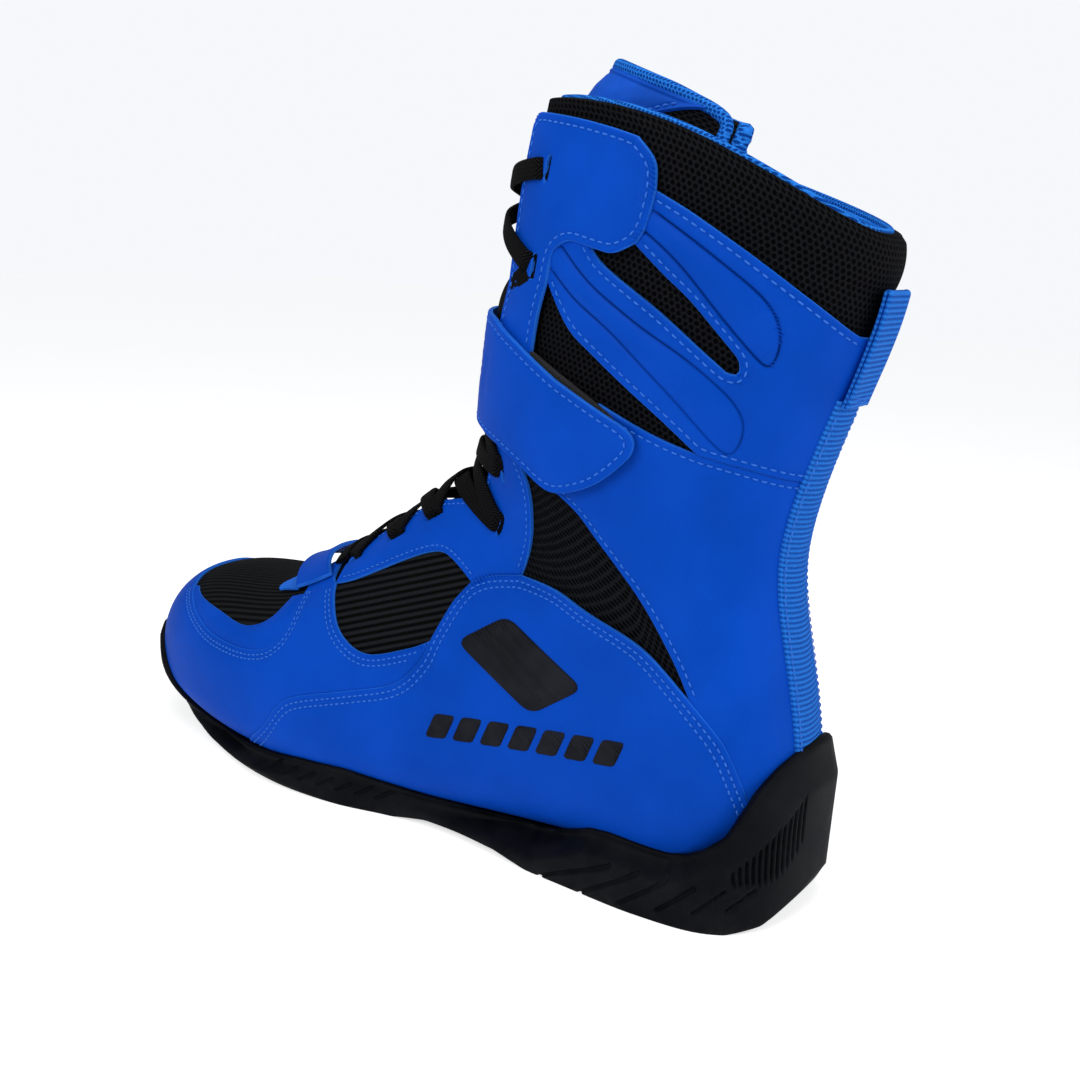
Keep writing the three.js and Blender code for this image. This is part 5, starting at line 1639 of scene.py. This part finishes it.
def build_lining():
    """The lining below the padding, down into the foot."""
    rows = np.linspace(30, LINING_TOP, 120)
    turns = np.array([turns_round(along, 2, 100) for along in rows])
    alongs = np.broadcast_to(rows[:, None], turns.shape)
    places = np.stack([turns * DEGREE, alongs], -1).reshape(-1, 2)
    outer, inner = (offset(turns, alongs, depth) for depth in (-4.9, -5.6))
    piece = sheet_piece("lining", outer, inner, LINING_KNIT, places)
    finish_piece(piece, "boot", ["lining"])


def build_collar_binding():
    """The lip where the lining is rolled over the edge of the mesh."""
    turn = turns_round(LINING_TOP, 2, 240)
    centres = offset(turn, rim(turn) + 2.0, -4.6)
    points, faces, places = tube(centres, outward(turn, rim(turn)), 3.0, 2.6, corner=0.9)
    piece = make_mesh("collar_binding", points, faces, LINING_KNIT, places)
    finish_piece(piece, "boot", ["collar_binding"])


# ---- raised rubber print -----------------------------------------------------------------------------
def block(corners, radius):
    """A closed side-view outline with rounded corners."""
    outline = []
    corners = np.array(corners, float)
    for before, corner, after in zip(np.roll(corners, 1, axis=0), corners, np.roll(corners, -1, axis=0)):
        start = corner + unit(before - corner) * radius
        end = corner + unit(after - corner) * radius
        share = np.linspace(0, 1, 8)[:, None]
        outline.append(start * (1 - share) ** 2 + corner * 2 * share * (1 - share) + end * share ** 2)
    outline = np.vstack(outline)
    outline = np.vstack([outline, outline[:1]])
    run = run_length(outline)
    return read_path(np.linspace(0, run[-1], int(run[-1] / 0.8)), run, outline)


BADGE = [(-84, 74), (-65.5, 87), (-31, 70), (-50, 56)]
BAR = {"start": (-91, 37.5), "end": (-14, 47), "height": 9.5, "blocks": 7, "gap": 2.6, "lean": 3.2}


def build_print(name, side):
    """A plain slanted badge with raised border and ribs, and a row of blocks below it."""
    def ribs(turn, along, points):
        wave = np.sin((points[:, 1] * 0.55 + points[:, 2]) * math.tau / 5.6)
        edge = nearest(points, badge.fine_loop)
        return -0.5 * smoothstep(wave, -0.25, 0.25) * smoothstep(edge, 2.4, 3.0)

    badge = Panel([side_places(block(BADGE, 5), side, 2.5)], 1.9, 1.0, edge=0.5, spacing=1.0)
    badge.relief = ribs
    badge.build(f"ankle_patch_{name}", PRINT, "black_rubber", [f"ankle_patch_{name}"])
    start, end = np.array(BAR["start"]), np.array(BAR["end"])
    step = (end - start) / BAR["blocks"]
    width = step * (1 - BAR["gap"] / np.linalg.norm(step))
    rise = np.array([BAR["lean"], BAR["height"]])
    for i in range(BAR["blocks"]):
        low = start + step * i
        corners = [low, low + rise, low + rise + width, low + width]
        tile = Panel([side_places(block(corners, 1.4), side, 2.5)], 1.9, 0.8, edge=0.5, spacing=1.4)
        tile.build(f"side_block_{name}_{i + 1}", PRINT, "black_rubber")


# ---- sole ------------------------------------------------------------------------------------------------
FOOTPRINT = [
    (-8, 44), (20, 38), (36, 22), (41, -2), (41, -30),
    (40, -56), (38, -80), (40, -104), (47, -130), (51, -160),
    (48, -188), (38, -216), (22, -240), (-4, -256), (-30, -246),
    (-46, -222), (-53, -190), (-53, -158), (-47, -130),
    (-36, -100), (-33, -76), (-37, -50), (-40, -24), (-40, 2), (-34, 24), (-22, 38),
]
SOLE_COLUMN = 0.25  # spacing of the wall's columns round the sole where it is grooved
PLAIN_COLUMN = 3  # columns that are merged where it is plain
HEEL_SLOTS = {"count": 13, "start": 18.4, "pitch": 2.17, "width": 1.1, "depth": 1.3}
HEEL_SIPES = 6
RAY_START = 16  # how far inside the footprint the rays to the bootie start
FORE_SIPES = 7


def closed_curve(points, step):
    """An even closed Catmull-Rom curve through the points."""
    ring = np.array(points[-2:] + points + points[:3], float)
    curve = smooth_run(ring, 20)[40:-40]
    run = run_length(curve)
    count = int(run[-1] / step)
    at = np.arange(count) * run[-1] / count
    return read_path(at, run, curve), at


def groove(distance_along, distance_across, half_length, half_width):
    """1 inside a round-ended groove, falling to 0 at its edge."""
    past = np.maximum(np.abs(distance_along) - half_length, 0)
    return smoothstep(half_width - np.hypot(past, distance_across), -0.25, 0.35)


def sole_grooves(run, height):
    """Depth of the slots and sipes at distances run from the heel's middle, the same on both sides."""
    slots = HEEL_SLOTS
    depth = np.zeros(run.shape)
    for i in range(slots["count"]):
        share = i / (slots["count"] - 1)
        place = slots["start"] + slots["pitch"] * i
        top = 45 - 23 * share
        low = 18 + 12 * (1 - share) ** 3
        sway = 0.9 * np.sin((height - low) / (top - low) * math.pi / 2)
        middle, half = (top + low) / 2, (top - low) / 2
        slot = groove(height - middle, run - place - sway, half, slots["width"] / 2)
        depth = np.maximum(depth, slots["depth"] * slot)
    for i in range(HEEL_SIPES):
        start = np.array([37 + 10.2 * i, 15.8 - 0.5 * i])
        end = np.array([start[0] + 9 + 0.7 * i * i, max(8.7 - 2.2 * i, 0.3)])
        depth = np.maximum(depth, 1.2 * slanted(run, height, start, end, 0.7))
    for i in range(FORE_SIPES):
        start = np.array([181 + 8.4 * i, 9.6])
        end = start + (6.2, -3.4)
        depth = np.maximum(depth, 0.8 * slanted(run, height, start, end, 0.6))
    return depth


def slanted(run, height, start, end, half_width):
    length = np.linalg.norm(end - start)
    way = (end - start) / length
    middle = (start + end) / 2
    x, y = run - middle[0], height - middle[1]
    return groove(x * way[0] + y * way[1], x * -way[1] + y * way[0], length / 2, half_width)


def evened(heights, window=9):
    """Heights round the sole, averaged over their neighbours."""
    ring = np.concatenate([heights[-window:], heights, heights[:window]])
    return np.convolve(ring, np.hanning(2 * window + 1) / window, "valid")


def bootie_form():
    """The bootie's surface where the sole's wall meets it, for rays to hit."""
    turns = np.arange(0, 360, 2.0)
    alongs = np.concatenate([[0.1, 2, 5], np.arange(8, 420, 5.0)])
    form = offset(turns[None], alongs[:, None], SOLE_DEPTH)
    faces = grid_faces(len(alongs), len(turns), closed=True)
    faces.append(tuple(range(len(turns))))  # closes the toe tip
    return BVHTree.FromPolygons(form.reshape(-1, 3).tolist(), faces)


def stand_off(form, place, way, height):
    """How far the bootie pushes the wall outwards from the footprint at a height."""
    origin = Vector((*(place - way * RAY_START), height))
    hit = form.ray_cast(origin, Vector((*way, 0)), 40)
    return hit[3] - RAY_START if hit[0] is not None else -20.0


def sole_edge(form, foot, normal):
    """Height of the wall's upper edge over each place of the footprint."""
    tops = np.zeros(len(foot))
    for column, (place, way) in enumerate(zip(foot, normal)):
        top = float(height_on(SOLE_LINE, place[1]))
        for _ in range(4):
            off = max(stand_off(form, place, way, top), -6.0)
            top = float(height_on(SOLE_LINE, place[1] + way[1] * off))
        tops[column] = top
    return tops


def sole_wall(form, foot, normal, tops, lows):
    """The wall's outer face, which leans on the bootie and has rounded edges."""
    rows = 44
    shares = np.concatenate([np.linspace(0, 0.06, 5)[:-1], np.linspace(0.06, 1, rows - 4)])
    wall = np.zeros((rows, len(foot), 3))
    soft = 1.6
    for column in range(len(foot)):
        z = lows[column] + (tops[column] - lows[column]) * shares
        off = np.array([stand_off(form, foot[column], normal[column], value) for value in z])
        heel = smoothstep(foot[column, 1], 2, 28)
        plain = -0.55 * np.maximum(z - 11, 0) * (1 - heel) - 0.3 * np.maximum(z - 46, 0) * heel
        out = soft * np.logaddexp(off / soft, plain / soft) - 0.4
        hug = smoothstep(z, tops[column] - 7, tops[column] - 0.5) * (1 - heel)
        out = out * (1 - hug) + np.clip(off - 0.4, out - 13, out) * hug
        from_low, from_top = z - lows[column], tops[column] - z
        bevel = 0.4 + 9.6 * smoothstep(-foot[column, 1], 120, 210)
        out -= bevel * (1 - rounded_rise(from_low, bevel))
        out -= 0.8 * (1 - rounded_rise(from_top, 0.9))
        wall[:, column, :2] = foot[column] + normal[column] * out[:, None]
        wall[:, column, 2] = z
    return wall


def build_sole():
    foot, at = closed_curve(FOOTPRINT, SOLE_COLUMN)
    start = int(np.argmax(foot[:, 1]))
    foot = np.roll(foot, -start, axis=0)
    length = at[-1] + at[1]
    tangent = unit(np.roll(foot, -1, axis=0) - np.roll(foot, 1, axis=0))
    normal = np.stack([-tangent[:, 1], tangent[:, 0]], 1)
    if (normal[0] * (0, 1)).sum() < 0:
        normal = -normal
    from_heel = np.minimum(at, length - at)

    form = bootie_form()
    tops = evened(sole_edge(form, foot, normal))
    lows = evened(height_on(GROUND_LINE, foot[:, 1]))

    grooved = ((from_heel > 15) & (from_heel < 118)) | ((from_heel > 178) & (from_heel < 242))
    kept = grooved | (np.arange(len(foot)) % PLAIN_COLUMN == 0)
    foot, normal, tops, lows, from_heel = (values[kept] for values in (foot, normal, tops, lows, from_heel))

    wall = sole_wall(form, foot, normal, tops, lows)
    grooves = sole_grooves(np.broadcast_to(from_heel, wall.shape[:2]), wall[..., 2])
    grooves *= smoothstep(tops[None] - wall[..., 2], 1.0, 2.0)
    wall[..., :2] -= normal[None] * grooves[..., None]

    lip = wall[-1].copy()
    lip[:, :2] -= normal * 1.2
    lip[:, 2] += 0.15
    hidden = wall[-1].copy()
    hidden[:, :2] -= normal * 4.5
    hidden[:, 2] -= 2.0

    middle_line = np.stack([np.interp(foot[:, 1], [-256, -160, -76, 44], [-6, -3, 3, -4]),
                            np.clip(foot[:, 1], -214, 6)], 1)
    floor_rows, inner_rows = [], []
    for share in np.linspace(0.05, 1, 34):
        row = np.zeros((len(foot), 3))
        row[:, :2] = wall[0, :, :2] * (1 - share) + middle_line * share
        ground = height_on(GROUND_LINE, row[:, 1])
        tread = np.sin(row[:, 1] * math.tau / 11 + np.abs(row[:, 0]) * 0.12)
        row[:, 2] = ground + 1.3 * smoothstep(tread, 0.5, 0.75) * smoothstep(share, 0.1, 0.2)
        floor_rows.append(row)
    for share in np.linspace(0.02, 1, 12):
        row = np.zeros((len(foot), 3))
        row[:, :2] = hidden[:, :2] * (1 - share) + middle_line * share
        base = height_on(GROUND_LINE, row[:, 1]) + 3.6
        row[:, 2] = base + (hidden[:, 2] - base) * (1 - smoothstep(share, 0, 0.06))
        inner_rows.append(row)
    rings = np.array(inner_rows[::-1] + [hidden, lip] + list(wall[::-1]) + floor_rows)
    rim_distance = np.full(rings.shape[:2], 9.0)
    rim_distance[len(inner_rows) + 1] = 0
    rim_distance[len(inner_rows) + 2:-len(floor_rows)] = tops[None] - wall[::-1, :, 2]
    points = rings.reshape(-1, 3)
    faces = outward_faces(points, grid_faces(*rings.shape[:2], closed=True))
    places = np.stack([np.broadcast_to(from_heel, rings.shape[:2]), rings[..., 2]], -1).reshape(-1, 2)
    piece = make_mesh("outsole", points, faces, RUBBER, places, rim_distance.ravel(), sharp=60)
    finish_piece(piece, "boot", ["outsole", "midsole"])


# ---- all the pieces ------------------------------------------------------------------------------------
build_sole()
build_mesh_upper()
build_ankle_mesh()
build_collar_padding()
build_lining()
build_collar_binding()
build_heel_strip()
build_pull_loop()
build_toe_cap()
build_toe_window()
build_toe_rims()
build_vamp_band()
build_vamp_tab()
for side_name, side_sign in SIDES:
    build_quarter(side_name, side_sign)
    build_rear_quarter(side_name, side_sign)
    build_shaft_panel(side_name, side_sign)
    build_lower_eyestay(side_name, side_sign)
    build_upper_eyestay(side_name, side_sign)
    build_side_window(side_name, side_sign)
    build_print(side_name, side_sign)
build_tongue_body()
build_tongue_facing()
build_tongue_lining()
build_tongue_binding()
build_tongue_seam()
build_lace()
build_strap()
build_strap_anchor()
build_strap_patches()

HIDDEN_MATERIALS = {
    "insole_board": BOARD, "sockliner": LINING_KNIT, "heel_counter": BOARD, "toe_puff": BOARD,
    "collar_foam": FOAM,
}
for node_name, material in HIDDEN_MATERIALS.items():
    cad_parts[node_name].data.materials.clear()
    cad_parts[node_name].data.materials.append(material)

# ---- camera ----------------------------------------------------------------------------------------------
CAMERA = {
    "azimuth": 122.53, "elevation": 12.73, "roll": 3.85, "distance": 447.57, "target": (0, -80, 120),
    "focal_share": 1.1214, "centre_share": (0.4894, 0.4648),
}


def place_camera():
    azimuth, elevation, roll = (math.radians(CAMERA[key]) for key in ("azimuth", "elevation", "roll"))
    back = Vector((math.sin(azimuth) * math.cos(elevation), -math.cos(azimuth) * math.cos(elevation),
                   math.sin(elevation)))
    right = (-back).cross(Vector((0, 0, 1))).normalized()
    up = right.cross(-back)
    rolled_right = math.cos(roll) * right + math.sin(roll) * up
    rolled_up = math.cos(roll) * up - math.sin(roll) * right
    lens = bpy.data.cameras.new("photo_camera")
    lens.sensor_width = 36
    lens.lens = 36 * CAMERA["focal_share"]
    lens.shift_x = 0.5 - CAMERA["centre_share"][0]
    lens.shift_y = CAMERA["centre_share"][1] - 0.5
    lens.clip_start = 0.01
    camera = bpy.data.objects.new("photo_camera", lens)
    place = (Vector(CAMERA["target"]) + back * CAMERA["distance"]) * UNIT
    turned = Matrix((rolled_right, rolled_up, back)).transposed().to_4x4()
    camera.matrix_world = Matrix.Translation(place) @ turned
    bpy.context.scene.collection.objects.link(camera)
    bpy.context.scene.camera = camera
    return back, right


view_back, view_right = place_camera()

# ---- light and floor --------------------------------------------------------------------------------------
LIT = Vector((0, -90, 110))  # the place on the boot that every lamp faces


def area_light(name, place, size, power):
    lamp = bpy.data.lights.new(name, "AREA")
    lamp.shape = "DISK"
    lamp.size = size * UNIT
    lamp.energy = power
    holder = bpy.data.objects.new(name, lamp)
    holder.location = place * UNIT
    holder.rotation_euler = (LIT - place).to_track_quat("-Z", "Y").to_euler()
    bpy.context.scene.collection.objects.link(holder)


area_light("overhead", LIT + Vector((0, 0, 620)) + view_back * 160, 620, 1.8)
area_light("front", LIT + view_back * 620 - view_right * 420 + Vector((0, 0, 330)), 460, 2.6)
area_light("side", LIT + view_back * 260 + view_right * 640 + Vector((0, 0, 200)), 420, 1.6)


def glow(tree, lit, seen):
    """A strength that is higher where the camera looks at it than where it lights the boot."""
    camera_ray = Value(tree, add_node(tree, "ShaderNodeLightPath").outputs["Is Camera Ray"])
    return camera_ray.ramp(0.0, 1.0, lit, seen)


world = bpy.data.worlds.new("studio")
bpy.context.scene.world = world
world.use_nodes = True
backdrop = world.node_tree.nodes["Background"]
set_input(world.node_tree, backdrop.inputs["Color"], (0.92, 0.94, 0.97, 1))
set_input(world.node_tree, backdrop.inputs["Strength"], glow(world.node_tree, 0.38, 1.0))

FLOOR_REACH = 3.0
floor = bpy.data.meshes.new("floor")
corners = [(x * FLOOR_REACH, y * FLOOR_REACH, 0) for x, y in ((-1, -1), (1, -1), (1, 1), (-1, 1))]
floor.from_pydata(corners, [], [(0, 1, 2, 3)])
floor_piece = bpy.data.objects.new("floor", floor)
pale = speckled("pale_floor", (0.86, 0.86, 0.86), (0.88, 0.88, 0.88), 0.02, 0.0)
shader = next(node for node in pale.node_tree.nodes if node.type == "BSDF_PRINCIPLED")
set_input(pale.node_tree, shader.inputs["Emission Color"], (1, 1, 1, 1))
set_input(pale.node_tree, shader.inputs["Emission Strength"], glow(pale.node_tree, 0.22, 0.62))
floor_piece.data.materials.append(pale)
bpy.context.scene.collection.objects.link(floor_piece)
bpy.context.scene.view_settings.view_transform = "Standard"
